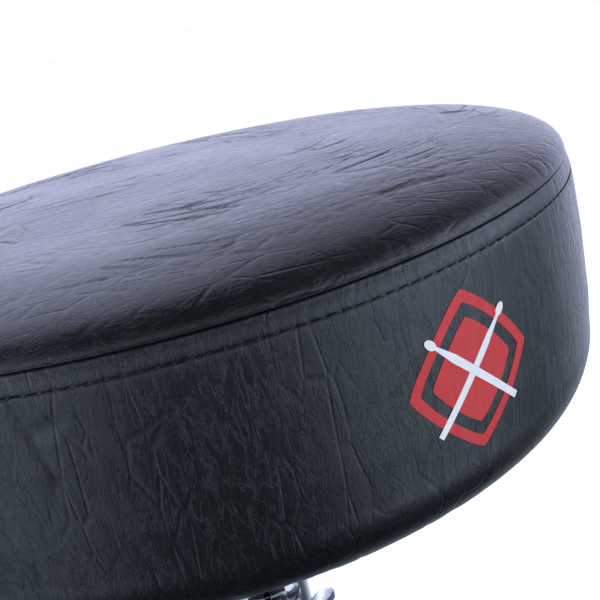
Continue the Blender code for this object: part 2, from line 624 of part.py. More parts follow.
def make_hubs(parent):
    low = LOWER_Z - LOWER_DOWN
    high = LOWER_Z + LOWER_UP
    lower = turned("lower_hub", tube_outline(LOWER_BORE, LOWER_R, low, high), "chrome", parent)
    add_lugs(lower, parent, LOWER_Z, LOWER_LUG_R, BRACE_INNER - RUNNING_GAP)
    hole = rod_shape(PIN_HOLE_R, (HOLE_START, 0, LOWER_Z), (LOWER_HOLE_END, 0, LOWER_Z))
    combine(lower, tool("cut_hub_screw", hole, parent, rotation=bearing(HUB_SCREW_BEARING)), "DIFFERENCE")
    turn = radians(HUB_SCREW_BEARING)
    pivot = empty("hub_screw_axis", parent, (0.0, 0.0, LOWER_Z), (0.0, 0.0, turn))
    screw = [(0.0, SET_SCREW_END), (SET_SCREW_TOP_R, SET_SCREW_END), (PIN_HEAD_R, SET_SCREW_RIM)]
    screw += [(PIN_HEAD_R, SET_SCREW_SEAT), (PIN_R, SET_SCREW_SEAT)]
    screw += [(PIN_R, SET_SCREW_TIP), (0.0, SET_SCREW_TIP)]
    turned("lower_hub_screw", screw, "zinc", pivot, SMALL_SIDES, rotation=(0.0, radians(90.0), 0.0))

    low = UPPER_Z - HUB_HALF_HEIGHT
    high = UPPER_Z + HUB_HALF_HEIGHT
    upper = turned("upper_hub", tube_outline(UPPER_BORE, UPPER_R, low, high), "chrome", parent)
    add_lugs(upper, parent, UPPER_Z, UPPER_LUG_R, LEG_INNER - RUNNING_GAP)
    turn = bearing(HUB_WING_BEARING)
    boss = rod_shape(BOSS_R, (BOSS_START, 0, UPPER_Z), (BOSS_END, 0, UPPER_Z), 20)
    combine(upper, tool("add_wing_boss", boss, parent, rotation=turn), "UNION")
    hole = rod_shape(CLAMP_HOLE_R, (HOLE_START, 0, UPPER_Z), (UPPER_HOLE_END, 0, UPPER_Z))
    combine(upper, tool("cut_wing_hole", hole, parent, rotation=turn), "DIFFERENCE")

    pivot = empty("hub_wing_axis", parent, (0.0, 0.0, UPPER_Z), turn)
    lie = (0.0, radians(90.0), 0.0)
    shank = [(0.0, WING_SCREW_HUB[0][0])] + [(radius, reach) for reach, radius in WING_SCREW_HUB]
    shank += [(CLAMP_SCREW_R, WING_SCREW_HUB[-1][0]), (CLAMP_SCREW_R, WING_SCREW_TIP), (0.0, WING_SCREW_TIP)]
    screw = turned("hub_wing_screw", shank, "chrome", pivot, 20, rotation=lie)
    add_wings(screw, "hub_wing", pivot, SCREW_WING_ROOT, rotation=lie)


def make_strips(prefix, parent, length, half_width, inner, outer, holes):
    """A matched pair of flat bars, one each side of the leg's middle plane, running along +X."""
    loops = [rounded_bar(length, half_width)] + [circle(x, 0.0, PIN_HOLE_R) for x in holes]
    for side, low, high in (("left", inner, outer), ("right", -outer, -inner)):
        add_object(f"{prefix}_{side}", flat_shape(loops, low, high), "chrome", parent)


def make_leg(number, degrees, parent):
    turn = radians(degrees)
    x, y = PIVOT_R * cos(turn), PIVOT_R * sin(turn)
    top = empty(f"leg_{number}_pivot", parent, (x, y, UPPER_Z), (0, 0, turn))
    tilt = empty(f"leg_{number}_tilt", top, rotation=(0.0, 0.5 * pi - SPREAD, 0.0))
    make_strips(f"leg_{number}_strip", tilt, LEG_LENGTH, LEG_HALF_WIDTH, LEG_INNER, LEG_OUTER,
                (0.0, LINK, LEG_LENGTH))
    base = empty(f"brace_{number}_pivot", parent, (x, y, LOWER_Z), (0, 0, turn))
    rise = empty(f"brace_{number}_tilt", base, rotation=(0.0, SPREAD - 0.5 * pi, 0.0))
    make_strips(f"brace_{number}", rise, LINK, BRACE_HALF_WIDTH, BRACE_INNER, BRACE_OUTER, (0.0, LINK))

    lie = (radians(90.0), 0.0, 0.0)
    leg_grip = LEG_OUTER + GAP
    turned(f"leg_{number}_hub_pin", pin_outline(leg_grip), "zinc", top, SMALL_SIDES, rotation=lie)
    turned(f"brace_{number}_hub_pin", pin_outline(BRACE_OUTER + GAP), "zinc", base, SMALL_SIDES, rotation=lie)
    spacer = (SPACER_R, BRACE_INNER - RUNNING_GAP)
    turned(f"leg_{number}_brace_pin", pin_outline(leg_grip, spacer), "zinc", tilt, SMALL_SIDES,
           location=(LINK, 0.0, 0.0), rotation=lie)
    turned(f"leg_{number}_foot_pin", pin_outline(leg_grip), "zinc", tilt, SMALL_SIDES,
           location=(LEG_LENGTH, 0.0, 0.0), rotation=lie)
    make_foot(number, parent, turn)


def make_foot(number, parent, turn):
    """A moulded rubber foot: a round sole, and a tongue that is pinned between the leg's strips."""
    spot = (FOOT_REACH * cos(turn), FOOT_REACH * sin(turn), 0.0)
    pivot = empty(f"foot_{number}_pivot", parent, spot, (0.0, 0.0, turn))
    outline = [(0.0, SOLE_TOP_Z), (SOLE_TOP_R, SOLE_TOP_Z), (SOLE_R, SOLE_EDGE_Z)]
    outline += [(SOLE_BOTTOM_R, 0.0), (0.0, 0.0)]
    foot = turned(f"foot_{number}", outline, "black_rubber", pivot, 20, location=(SOLE_OFFSET, 0.0, 0.0))
    inner, outer, root = TONGUE_ROOT
    tongue = arc(0.0, FOOT_PIN_Z, TONGUE_R, -10, 190, 9) + [(inner, root), (outer, root)]
    half = LEG_INNER - RUNNING_GAP
    shape = flat_shape([tongue, circle(0.0, FOOT_PIN_Z, PIN_HOLE_R)], -half, half)
    combine(foot, tool(f"add_tongue_{number}", shape, pivot), "UNION")


def main():
    for item in list(bpy.data.objects):
        bpy.data.objects.remove(item)
    axis = empty("throne_axis", location=(0.0, AXIS_Y, 0.0))
    make_seat(axis)
    make_clamp_fasteners("bracket", axis, BRACKET_CLAMP_Z, COLLAR_BEARING)
    make_post(axis)
    make_column(axis)
    make_clamp_fasteners("height", axis, COLLAR_CLAMP_Z, COLLAR_BEARING)
    make_hubs(axis)
    for number, degrees in enumerate(LEG_BEARINGS, start=1):
        make_leg(number, degrees, axis)


main()
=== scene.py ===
"""Looks of a drum throne around its CAD frame: vinyl seat, stitching, underside, metalwork and feet."""

import json
from math import cos, hypot, pi, radians, sin

import bpy
import numpy as np
from bpy.props import FloatProperty, FloatVectorProperty, IntProperty, PointerProperty
from mathutils import Matrix, Vector
from mathutils.bvhtree import BVHTree
from mathutils.kdtree import KDTree

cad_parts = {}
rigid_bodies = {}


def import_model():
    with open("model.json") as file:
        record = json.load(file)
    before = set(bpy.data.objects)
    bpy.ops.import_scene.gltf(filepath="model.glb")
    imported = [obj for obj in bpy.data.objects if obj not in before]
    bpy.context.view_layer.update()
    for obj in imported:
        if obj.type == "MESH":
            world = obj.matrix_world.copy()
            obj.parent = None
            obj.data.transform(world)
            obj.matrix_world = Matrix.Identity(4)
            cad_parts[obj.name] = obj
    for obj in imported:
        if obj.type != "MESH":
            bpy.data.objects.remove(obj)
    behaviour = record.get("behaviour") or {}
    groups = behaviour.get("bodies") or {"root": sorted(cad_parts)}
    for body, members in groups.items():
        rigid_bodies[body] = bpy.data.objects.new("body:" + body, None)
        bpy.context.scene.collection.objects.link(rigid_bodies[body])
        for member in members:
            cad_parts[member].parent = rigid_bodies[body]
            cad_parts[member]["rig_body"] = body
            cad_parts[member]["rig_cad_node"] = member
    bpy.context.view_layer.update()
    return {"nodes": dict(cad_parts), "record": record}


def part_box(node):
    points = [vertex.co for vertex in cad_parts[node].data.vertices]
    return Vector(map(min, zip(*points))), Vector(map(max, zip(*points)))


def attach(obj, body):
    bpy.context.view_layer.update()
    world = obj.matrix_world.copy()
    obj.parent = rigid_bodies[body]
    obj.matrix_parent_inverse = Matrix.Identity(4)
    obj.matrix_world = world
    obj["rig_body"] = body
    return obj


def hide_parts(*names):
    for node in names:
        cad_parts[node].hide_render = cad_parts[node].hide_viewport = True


bl_info = {
    "name": "Drum Throne Upholstery",
    "version": (1, 0, 0),
    "blender": (4, 5, 0),
    "location": "3D View > Sidebar > Throne",
    "description": "Builds the seat, stitching, underside and metalwork of a drum throne on its CAD frame",
    "category": "Object",
}

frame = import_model()

# ---------------------------------------------------------------- sizes read from the frame
BAND_LOW, BAND_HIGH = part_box("seat_side_band")
TOP_LOW, TOP_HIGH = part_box("seat_top_panel")
TUBE_LOW, TUBE_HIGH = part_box("outer_tube")
POST_LOW, POST_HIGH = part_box("seat_post")
COVER_LOW, COVER_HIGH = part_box("seat_dust_cover")
AXIS_Y = 0.5 * (BAND_LOW.y + BAND_HIGH.y)
SEAM_Z = TOP_LOW.z
SEAM_R = 0.5 * (TOP_HIGH.x - TOP_LOW.x)
CROWN = TOP_HIGH.z - SEAM_Z
BAND_DROP = SEAM_Z - BAND_LOW.z
COVER_R = 0.5 * (COVER_HIGH.x - COVER_LOW.x)

# ---------------------------------------------------------------- upholstery sizes, in metres
MERGE_GAP = 0.000002
DOME_RISE = 0.0033
SHOULDER_RISE = CROWN - DOME_RISE
SHOULDER_RUN = 0.0515
SHOULDER_SQUARE = 0.84      # under 1, the shoulder stands a little upright above the seam
BAND_EDGE_R = 0.0250
BAND_BULGE = 0.0015
SEAM_TUCK = 0.0024          # how far both panels turn inwards at the seam
SEAM_ROLL = 0.0007          # radius of each panel's fold at the seam
STITCH_DROP = 0.0066
VINYL_T = 0.0012
TURN_UNDER_R = 0.1060
SEAT_SIDES = 864
CREASE_RING = 0.125         # radius at which creases round the crown keep their length
CREASE_START = (0.050, 0.080)   # radii between which the creases turn from straight ones to rings
CREASE_LEAN = 0.16
GATHER_REACH = 0.0075       # how far the gathers run from the seam
PLEAT_DEPTH = 0.0011        # where the vinyl is drawn in under the board
PLEAT_RUN = (0.004, 0.030)
SKIN_LEFT = 0.0003          # least vinyl that a dent leaves
TOP_CELLS = 380             # grid cells across the top panel
CURVE_STEPS = 120           # steps in the crown's curve
BULGE_DROP = 0.0300         # the band's widest place, below the seam
BULGE_END_DROP = 0.0550
STITCH_BULGE = 0.0013       # how far the band stands out at its stitches, and lower down
LOWER_BULGE = 0.0005
BAND_TAPER = 0.0010
FOLD_GAP = 0.00012          # between the seam and the band's fold
ROW_MARGIN = 0.0016         # finely cut band above and below the stitches
STITCH_SHARE = 0.80         # of the pitch that a stitch of thread covers
THREAD_R = 0.00025
THREAD_SINK = 0.00018
THREAD_END_SINK = 0.00045
THREAD_SLANT = 0.05
GROOVE_R = 0.00045          # the pull of the stitches on the band
GROOVE_DEPTH = 0.00028
PULL_R = 0.0024
SWELL_BLUR = 0.0060         # how far the padding's bumps spread through the cover
SWELL_NEIGHBOURS = 8
SWELL_PASSES = 12
SWELL_SHARE = 0.15          # how much of it the stretched cover shows
PADDING_GAP = 0.0036        # from the cover's face to the padding's, before it is blown up
PADDING_CELL = 0.0055
PADDING_SIDES = 120
PADDING_FRAMES = 20
PADDING_PRESSURE = 4.0
PADDING_STIFFNESS = 12.0
SEWN_HALF = 0.004           # the padding is held within this of the seam, and of the board
SEWN_DEPTH = 0.012

# ---------------------------------------------------------------- printed badge
BADGE_BEARING = radians(28.5)       # round the seat from the front, towards +X
BADGE_DROP = 0.0410
BADGE_HALF_WIDTH = 0.0260
BADGE_HALF_HEIGHT = 0.0265
BADGE_SIDES = 96
BADGE_POWER = 1.7           # 1 gives an oval, 2 a diamond with straight sides
BADGE_CELL = 0.0010
BADGE_CUTS = 27
BADGE_LEAN = 47.0
BADGE_LIFT = 0.00016        # ink above the vinyl, and each stick above the one below
STICK_LIFTS = (0.00030, 0.00036)
STICK_SIDE = ((0.0012, -0.0235), (0.0014, 0.0100), (0.0006, 0.0185))    # half width and height
STICK_TIP = (0.0015, 0.0025, 0.0210)    # half width, half length and height of the oval tip

# ---------------------------------------------------------------- underside and metalwork
COVER_HOLE_R = 0.0575
COVER_T = 0.0006
COVER_SAG = 0.0009
STAPLES = 44
STAPLE_R = 0.00045
STAPLE_LENGTH = 0.0100
STAPLE_INSET = 0.0060       # from the dust cloth's edge
HEX_R = 0.0058
HEX_HEIGHT = 0.0040
HEX_FLANGE = 0.0010
HEX_FLANGE_R = 0.0062
HEX_SHANK_R = 0.0029
POST_BORE = 0.0107
TUBE_BORE = 0.0141
TUBE_LIP = 0.0005           # rounding of the tubes' ends
WELD_R = 0.0188
WELD_BEAD = 0.0015
WELD_RIPPLES = 44.0
WELD_RIPPLE = 0.00022
PLATE_T = 0.0040
FINE_EDGE = 0.0003          # rounding of pins, bolts and nylon
RUBBER_EDGE = 0.0008

# ---------------------------------------------------------------- noise table
NOISE_SLOPES = np.random.default_rng(11).normal(size=(1024, 3))
NOISE_SLOPES /= np.linalg.norm(NOISE_SLOPES, axis=1)[:, None]


class ThroneSeatSettings(bpy.types.PropertyGroup):
    """What a user would change on the upholstery."""

    vinyl_color: FloatVectorProperty(
        name="Vinyl colour", description="Base colour of the vinyl", subtype="COLOR", size=3,
        default=(0.0042, 0.0062, 0.0088), min=0.0, max=1.0)
    vinyl_roughness: FloatProperty(
        name="Vinyl roughness", description="How much the vinyl spreads reflections", subtype="FACTOR",
        default=0.33, min=0.05, max=1.0)
    stitches: IntProperty(
        name="Stitches", description="Stitches in the row under the seam", default=216, min=60)
    crease_depth: FloatProperty(
        name="Crease depth", description="Depth of the long creases", unit="LENGTH", default=0.0010, min=0.0)
    pucker_depth: FloatProperty(
        name="Pucker depth", description="Depth of the gathers beside the seam", unit="LENGTH",
        default=0.00028)
    swell: FloatProperty(
        name="Swell", description="Most that the padding may push the cover out or in", unit="LENGTH",
        default=0.0012, min=0.0)


class ThroneMetalSettings(bpy.types.PropertyGroup):
    """What a user would change on the stand."""

    chrome_color: FloatVectorProperty(
        name="Chrome colour", description="Tint of the plated steel", subtype="COLOR", size=3,
        default=(0.56, 0.57, 0.585), min=0.0, max=1.0)
    edge_radius: FloatProperty(
        name="Edge radius", description="Rounding of the metal edges", unit="LENGTH", default=0.0004, min=0.0)


class ThroneStageSettings(bpy.types.PropertyGroup):
    """The studio around the throne."""

    floor_color: FloatVectorProperty(
        name="Floor colour", description="Colour of the studio floor", subtype="COLOR", size=3,
        default=(0.97, 0.97, 0.97), min=0.0, max=1.0)
    key_power: FloatProperty(
        name="Key power", description="Power of the overhead soft light", unit="POWER", default=9.0, min=0.0)


# ---------------------------------------------------------------- shader building
def add_node(tree, kind, values=None, **settings):
    """A shader node whose inputs are set, or linked where the value is another node's socket."""
    item = tree.nodes.new(kind)
    for name, value in settings.items():
        setattr(item, name, value)
    for key, value in (values or {}).items():
        if isinstance(value, bpy.types.NodeSocket):
            tree.links.new(value, item.inputs[key])
        else:
            item.inputs[key].default_value = value
    return item


def math_node(tree, operation, first, second=0.0, clamp=False):
    item = add_node(tree, "ShaderNodeMath", {0: first, 1: second}, operation=operation, use_clamp=clamp)
    return item.outputs[0]


def noise(tree, place, scale, detail=4.0, **more):
    values = {"Vector": place, "Scale": scale, "Detail": detail}
    return add_node(tree, "ShaderNodeTexNoise", {**values, **more}).outputs["Fac"]


def smooth_range(tree, value, low, high, to_low=0.0, to_high=1.0):
    values = {"Value": value, "From Min": low, "From Max": high, "To Min": to_low, "To Max": to_high}
    return add_node(tree, "ShaderNodeMapRange", values, interpolation_type="SMOOTHSTEP").outputs["Result"]


def new_group(name, inputs, outputs):
    """An empty shader group with named float or vector inputs and float outputs."""
    group = bpy.data.node_groups.new(name, "ShaderNodeTree")
    for label, kind, default in inputs:
        socket = group.interface.new_socket(name=label, in_out="INPUT", socket_type=kind)
        if kind == "NodeSocketFloat":
            socket.default_value = default
    for label in outputs:
        group.interface.new_socket(name=label, in_out="OUTPUT", socket_type="NodeSocketFloat")
    return group, group.nodes.new("NodeGroupInput").outputs, group.nodes.new("NodeGroupOutput").inputs


def crushed_grain_group():
    """Embossed leather grain: warped, drawn-out creases over fine pebbling."""
    name = "crushed_grain"
    if name in bpy.data.node_groups:
        return bpy.data.node_groups[name]
    group, given, out = new_group(
        name,
        [("Vector", "NodeSocketVector", None), ("Scale", "NodeSocketFloat", 1.0),
         ("Warp", "NodeSocketFloat", 0.25)],
        ["Height", "Crease"],
    )
    wander = add_node(group, "ShaderNodeTexNoise", {"Vector": given["Vector"], "Scale": 2.2, "Detail": 4.0})
    centred = add_node(group, "ShaderNodeVectorMath", {0: wander.outputs["Color"], 1: (0.5, 0.5, 0.5)},
                       operation="SUBTRACT")
    pushed = add_node(group, "ShaderNodeVectorMath", {0: centred.outputs[0], "Scale": given["Warp"]},
                      operation="SCALE")
    place = add_node(group, "ShaderNodeVectorMath", {0: given["Vector"], 1: pushed.outputs[0]},
                     operation="ADD")
    sized = add_node(group, "ShaderNodeVectorMath", {0: place.outputs[0], "Scale": given["Scale"]},
                     operation="SCALE")
    values = {"Vector": sized.outputs[0], "Scale": 1.0, "Randomness": 1.0}
    cells = add_node(group, "ShaderNodeTexVoronoi", values, feature="DISTANCE_TO_EDGE")
    line = smooth_range(group, cells.outputs["Distance"], 0.0, 0.10, 1.0, 0.0)
    patch = add_node(group, "ShaderNodeTexNoise", {"Vector": sized.outputs[0], "Scale": 0.55, "Detail": 2.0})
    kept = smooth_range(group, patch.outputs["Fac"], 0.40, 0.62)
    crease = math_node(group, "MULTIPLY", line, kept)
    folds = add_node(group, "ShaderNodeTexNoise", {"Vector": sized.outputs[0], "Scale": 1.7, "Detail": 5.0,
                                                  "Roughness": 0.55, "Distortion": 0.6})
    ridge = math_node(group, "ABSOLUTE", math_node(group, "SUBTRACT", folds.outputs["Fac"], 0.5))
    fine_line = smooth_range(group, ridge, 0.0, 0.035, 1.0, 0.0)
    both = math_node(group, "MAXIMUM", crease, math_node(group, "MULTIPLY", fine_line, 0.45))
    swell = math_node(group, "MULTIPLY", folds.outputs["Fac"], 0.6)
    height = math_node(group, "SUBTRACT", swell, both)
    group.links.new(height, out["Height"])
    group.links.new(both, out["Crease"])
    return group


def pebble_group():
    """Fine pores and pebbling, for vinyl, rubber and moulded plastic."""
    name = "pebbled_skin"
    if name in bpy.data.node_groups:
        return bpy.data.node_groups[name]
    group, given, out = new_group(
        name, [("Vector", "NodeSocketVector", None), ("Scale", "NodeSocketFloat", 900.0)], ["Height"])
    cells = add_node(group, "ShaderNodeTexVoronoi", {"Vector": given["Vector"], "Scale": given["Scale"]},
                     feature="SMOOTH_F1")
    specks = add_node(group, "ShaderNodeTexNoise", {"Vector": given["Vector"], "Scale": given["Scale"],
                                                   "Detail": 3.0})
    height = math_node(group, "ADD", math_node(group, "MULTIPLY", cells.outputs["Distance"], 0.7),
                       math_node(group, "MULTIPLY", specks.outputs["Fac"], 0.5))
    group.links.new(height, out["Height"])
    return group


def dust_group():
    """A thin uneven film of dust on what faces up."""
    name = "settled_dust"
    if name in bpy.data.node_groups:
        return bpy.data.node_groups[name]
    group, given, out = new_group(
        name, [("Vector", "NodeSocketVector", None), ("Amount", "NodeSocketFloat", 0.1)], ["Mask"])
    surface = group.nodes.new("ShaderNodeNewGeometry")
    facing = add_node(group, "ShaderNodeSeparateXYZ", {0: surface.outputs["Normal"]})
    upward = smooth_range(group, facing.outputs["Z"], 0.2, 1.0)
    cloud = add_node(group, "ShaderNodeTexNoise", {"Vector": given["Vector"], "Scale": 26.0, "Detail": 6.0,
                                                  "Roughness": 0.7})
    patchy = smooth_range(group, cloud.outputs["Fac"], 0.40, 0.72)
    mask = math_node(group, "MULTIPLY", math_node(group, "MULTIPLY", upward, patchy), given["Amount"], True)
    group.links.new(mask, out["Mask"])
    return group


def handling_group():
    """Smears and hair scratches of handled metal."""
    name = "handled_metal"
    if name in bpy.data.node_groups:
        return bpy.data.node_groups[name]
    group, given, out = new_group(
        name, [("Vector", "NodeSocketVector", None), ("Drag", "NodeSocketFloat", 40.0)], ["Smear", "Scratch"])
    smear = add_node(group, "ShaderNodeTexNoise", {"Vector": given["Vector"], "Scale": 32.0, "Detail": 5.0,
                                                  "Roughness": 0.62, "Distortion": 0.8})
    group.links.new(smooth_range(group, smear.outputs["Fac"], 0.35, 0.75), out["Smear"])
    split = add_node(group, "ShaderNodeSeparateXYZ", {0: given["Vector"]})
    lifted = math_node(group, "MULTIPLY", split.outputs["Z"], given["Drag"])
    drawn = add_node(group, "ShaderNodeCombineXYZ", {0: split.outputs["X"], 1: split.outputs["Y"], 2: lifted})
    hair = add_node(group, "ShaderNodeTexNoise", {"Vector": drawn.outputs[0], "Scale": 60.0, "Detail": 3.0})
    group.links.new(smooth_range(group, hair.outputs["Fac"], 0.52, 0.64), out["Scratch"])
    return group


def use_group(tree, group, values):
    item = add_node(tree, "ShaderNodeGroup", node_tree=group)
    for key, value in values.items():
        if isinstance(value, bpy.types.NodeSocket):
            tree.links.new(value, item.inputs[key])
        else:
            item.inputs[key].default_value = value
    return item.outputs


def new_material(name, **sockets):
    """A material with one Principled shader; the named sockets are set on the shader itself."""
    material = bpy.data.materials.new(name)
    material.use_nodes = True
    tree = material.node_tree
    shader = tree.nodes["Principled BSDF"]
    for key, value in sockets.items():
        shader.inputs[key.replace("_", " ")].default_value = value
    place = add_node(tree, "ShaderNodeTexCoord").outputs["Object"]
    return material, tree, shader, place


def feed(shader, name, value):
    """Links a value to one of the shader's inputs."""
    shader.id_data.links.new(value, shader.inputs[name])


def stretch(tree, place, scale, turn=(0.0, 0.0, 0.0), shift=(0.0, 0.0, 0.0)):
    return add_node(tree, "ShaderNodeMapping", {"Vector": place, "Scale": scale, "Rotation": turn,
                                                "Location": shift}).outputs[0]


def colour_mix(tree, share, first, second):
    item = add_node(tree, "ShaderNodeMix", {"Factor": share}, data_type="RGBA")
    for index, value in ((6, first), (7, second)):
        if isinstance(value, bpy.types.NodeSocket):
            tree.links.new(value, item.inputs[index])
        else:
            item.inputs[index].default_value = (*value[:3], 1.0)
    return item.outputs[2]


def bump(tree, height, strength, distance, below=None):
    values = {"Height": height, "Strength": strength, "Distance": distance}
    if below is not None:
        values["Normal"] = below
    return add_node(tree, "ShaderNodeBump", values).outputs[0]


def shade(color, factor):
    return tuple(min(1.0, channel * factor) for channel in color)


def vinyl_material(name, seat, drawn_out, fold_scale, grain_scale):
    """Black upholstery vinyl: embossed creases drawn out one way, fine grain and pores, a worn sheen, and
    painted shade darkening the crease lines.
    """
    material, tree, shader, place = new_material(name, Specular_IOR_Level=0.5, Coat_Roughness=0.22, IOR=1.5)
    drawn = stretch(tree, place, drawn_out)
    folds = use_group(tree, crushed_grain_group(), {"Vector": drawn, "Scale": fold_scale, "Warp": 0.010})
    grain = use_group(tree, crushed_grain_group(), {"Vector": drawn, "Scale": grain_scale, "Warp": 0.005})
    pores = use_group(tree, pebble_group(), {"Vector": place, "Scale": 1500.0})
    first = bump(tree, folds["Height"], 0.50, 0.00030)
    second = bump(tree, grain["Height"], 0.32, 0.00014, first)
    final = bump(tree, pores["Height"], 0.22, 0.00005, second)
    feed(shader, "Normal", final)
    base = seat.vinyl_color
    dust = use_group(tree, dust_group(), {"Vector": place, "Amount": 0.03})["Mask"]
    cloud = noise(tree, place, 14.0)
    toned = colour_mix(tree, cloud, shade(base, 0.80), shade(base, 1.25))
    # painted shade: the crease lines are coloured 0.45 times the vinyl's colour, as if shade fell in them
    crease_shaded = colour_mix(tree, grain["Crease"], toned, shade(base, 0.45))
    feed(shader, "Base Color", colour_mix(tree, dust, crease_shaded, (0.16, 0.16, 0.17)))
    rough = seat.vinyl_roughness
    worn = smooth_range(tree, cloud, 0.3, 0.7, rough - 0.03, rough + 0.04)
    uneven = math_node(tree, "ADD", worn, math_node(tree, "MULTIPLY", grain["Crease"], 0.08), True)
    feed(shader, "Roughness", uneven)
    feed(shader, "Coat Weight", smooth_range(tree, cloud, 0.2, 0.8, 0.06, 0.14))
    return material


def thread_material():
    """Twisted polyester thread, with painted shade in the grooves of its twist."""
    material, tree, shader, place = new_material("bonded_thread", Roughness=0.75, Specular_IOR_Level=0.25)
    values = {"Vector": stretch(tree, place, (1.0, 1.0, 1.6)), "Scale": 900.0, "Distortion": 1.5}
    wave = add_node(tree, "ShaderNodeTexWave", values, wave_type="BANDS", bands_direction="DIAGONAL")
    twist = wave.outputs["Fac"]
    feed(shader, "Normal", bump(tree, twist, 0.5, 0.0001))
    # painted shade: the twist's grooves, low in the same bands that make its bump, are coloured darker
    feed(shader, "Base Color", colour_mix(tree, twist, (0.0015, 0.0016, 0.002), (0.006, 0.0065, 0.008)))
    return material


def print_material(name, color):
    """Screen-printed ink that lies on the vinyl and lets its grain through."""
    material, tree, shader, place = new_material(name, Specular_IOR_Level=0.4)
    drawn = stretch(tree, place, (1.0, 1.0, 0.4))
    grain = use_group(tree, crushed_grain_group(), {"Vector": drawn, "Scale": 75.0, "Warp": 0.012})
    feed(shader, "Normal", bump(tree, grain["Height"], 0.35, 0.0003))
    thin = noise(tree, place, 240.0)
    feed(shader, "Base Color", colour_mix(tree, thin, shade(color, 0.88), shade(color, 1.06)))
    feed(shader, "Roughness", smooth_range(tree, grain["Crease"], 0.0, 1.0, 0.42, 0.60))
    return material


def chrome_material(name, color, smooth, rough, drag=0.02):
    """Plated steel with smears, hair scratches and a little dust."""
    material, tree, shader, place = new_material(name)
    marks = use_group(tree, handling_group(), {"Vector": place, "Drag": drag})
    dust = use_group(tree, dust_group(), {"Vector": place, "Amount": 0.14})["Mask"]
    toned = colour_mix(tree, marks["Smear"], color, shade(color, 0.86))
    feed(shader, "Base Color", colour_mix(tree, dust, toned, (0.45, 0.44, 0.42)))
    feed(shader, "Metallic", math_node(tree, "SUBTRACT", 1.0, math_node(tree, "MULTIPLY", dust, 0.6)))
    spread = smooth_range(tree, marks["Smear"], 0.0, 1.0, smooth, rough)
    dusty = math_node(tree, "ADD", spread, math_node(tree, "MULTIPLY", dust, 0.4), True)
    feed(shader, "Roughness", dusty)
    feed(shader, "Normal", bump(tree, marks["Scratch"], 0.08, 0.00005))
    return material


def rubber_material():
    """Moulded black rubber, dulled and scuffed."""
    material, tree, shader, place = new_material("scuffed_rubber", Specular_IOR_Level=0.35)
    skin = use_group(tree, pebble_group(), {"Vector": place, "Scale": 620.0})
    dust = use_group(tree, dust_group(), {"Vector": place, "Amount": 0.45})["Mask"]
    scuff = noise(tree, place, 110.0, 6.0, Roughness=0.7)
    worn = smooth_range(tree, scuff, 0.45, 0.75)
    toned = colour_mix(tree, worn, (0.017, 0.017, 0.018), (0.045, 0.044, 0.043))
    feed(shader, "Base Color", colour_mix(tree, dust, toned, (0.16, 0.155, 0.15)))
    feed(shader, "Roughness", smooth_range(tree, scuff, 0.3, 0.8, 0.62, 0.88))
    feed(shader, "Normal", bump(tree, skin["Height"], 0.45, 0.00015))
    return material


def nylon_material():
    """Moulded black nylon."""
    material, tree, shader, place = new_material("moulded_nylon", Specular_IOR_Level=0.45)
    skin = use_group(tree, pebble_group(), {"Vector": place, "Scale": 1400.0})
    flow = noise(tree, place, 60.0)
    feed(shader, "Base Color", colour_mix(tree, flow, (0.018, 0.018, 0.019), (0.034, 0.034, 0.035)))
    feed(shader, "Roughness", smooth_range(tree, flow, 0.3, 0.7, 0.42, 0.55))
    feed(shader, "Normal", bump(tree, skin["Height"], 0.3, 0.00006))
    return material


def plywood_material():
    """Birch plywood: grain on its faces, plies on its edge."""
    material, tree, shader, place = new_material("birch_plywood", Roughness=0.68)
    long_grain = noise(tree, stretch(tree, place, (9.0, 120.0, 120.0)), 1.0, 6.0, Distortion=0.4)
    plies = add_node(tree, "ShaderNodeTexWave", {"Vector": place, "Scale": 200.0, "Distortion": 0.4},
                     bands_direction="Z").outputs["Fac"]
    faces = colour_mix(tree, long_grain, (0.42, 0.27, 0.13), (0.66, 0.49, 0.29))
    glue = math_node(tree, "MULTIPLY", plies, 0.35)
    feed(shader, "Base Color", colour_mix(tree, glue, faces, (0.30, 0.18, 0.08)))
    feed(shader, "Normal", bump(tree, long_grain, 0.3, 0.0002))
    return material


def foam_material():
    """Open-cell cushion foam, with painted shade in its pores."""
    material, tree, shader, place = new_material("cushion_foam", Roughness=0.95)
    cells = add_node(tree, "ShaderNodeTexVoronoi", {"Vector": place, "Scale": 700.0}).outputs["Distance"]
    # painted shade: each cell is coloured darker towards its middle, where the bump sinks into a pore
    feed(shader, "Base Color", colour_mix(tree, cells, (0.55, 0.46, 0.24), (0.80, 0.72, 0.46)))
    feed(shader, "Normal", bump(tree, cells, 0.7, 0.0004))
    return material


def cambric_material():
    """Spun-bonded black dust cloth with its dimpled press pattern."""
    material, tree, shader, place = new_material("dust_cloth", Roughness=0.93, Sheen_Weight=0.25)
    dimple = add_node(tree, "ShaderNodeTexVoronoi", {"Vector": place, "Scale": 420.0, "Randomness": 0.25})
    fibre = noise(tree, stretch(tree, place, (1.0, 0.25, 1.0)), 1800.0)
    feed(shader, "Base Color", colour_mix(tree, fibre, (0.012, 0.012, 0.013), (0.045, 0.045, 0.047)))
    first = bump(tree, dimple.outputs["Distance"], 0.6, 0.0003)
    feed(shader, "Normal", bump(tree, fibre, 0.4, 0.0001, first))
    return material


def kept_material(name, make, *values):
    """The material of that name, made the first time it is asked for."""
    return bpy.data.materials.get(name) or make(*values)


def chrome():
    color = tuple(bpy.context.scene.throne_metal.chrome_color)
    return kept_material("polished_chrome", chrome_material, "polished_chrome", color, 0.05, 0.16)


def zinc():
    return kept_material("zinc_plate", chrome_material, "zinc_plate", (0.50, 0.50, 0.49), 0.26, 0.42, 3.0)


def black_oxide():
    color = (0.055, 0.055, 0.058)
    return kept_material("black_oxide", chrome_material, "black_oxide", color, 0.30, 0.45, 1.0)


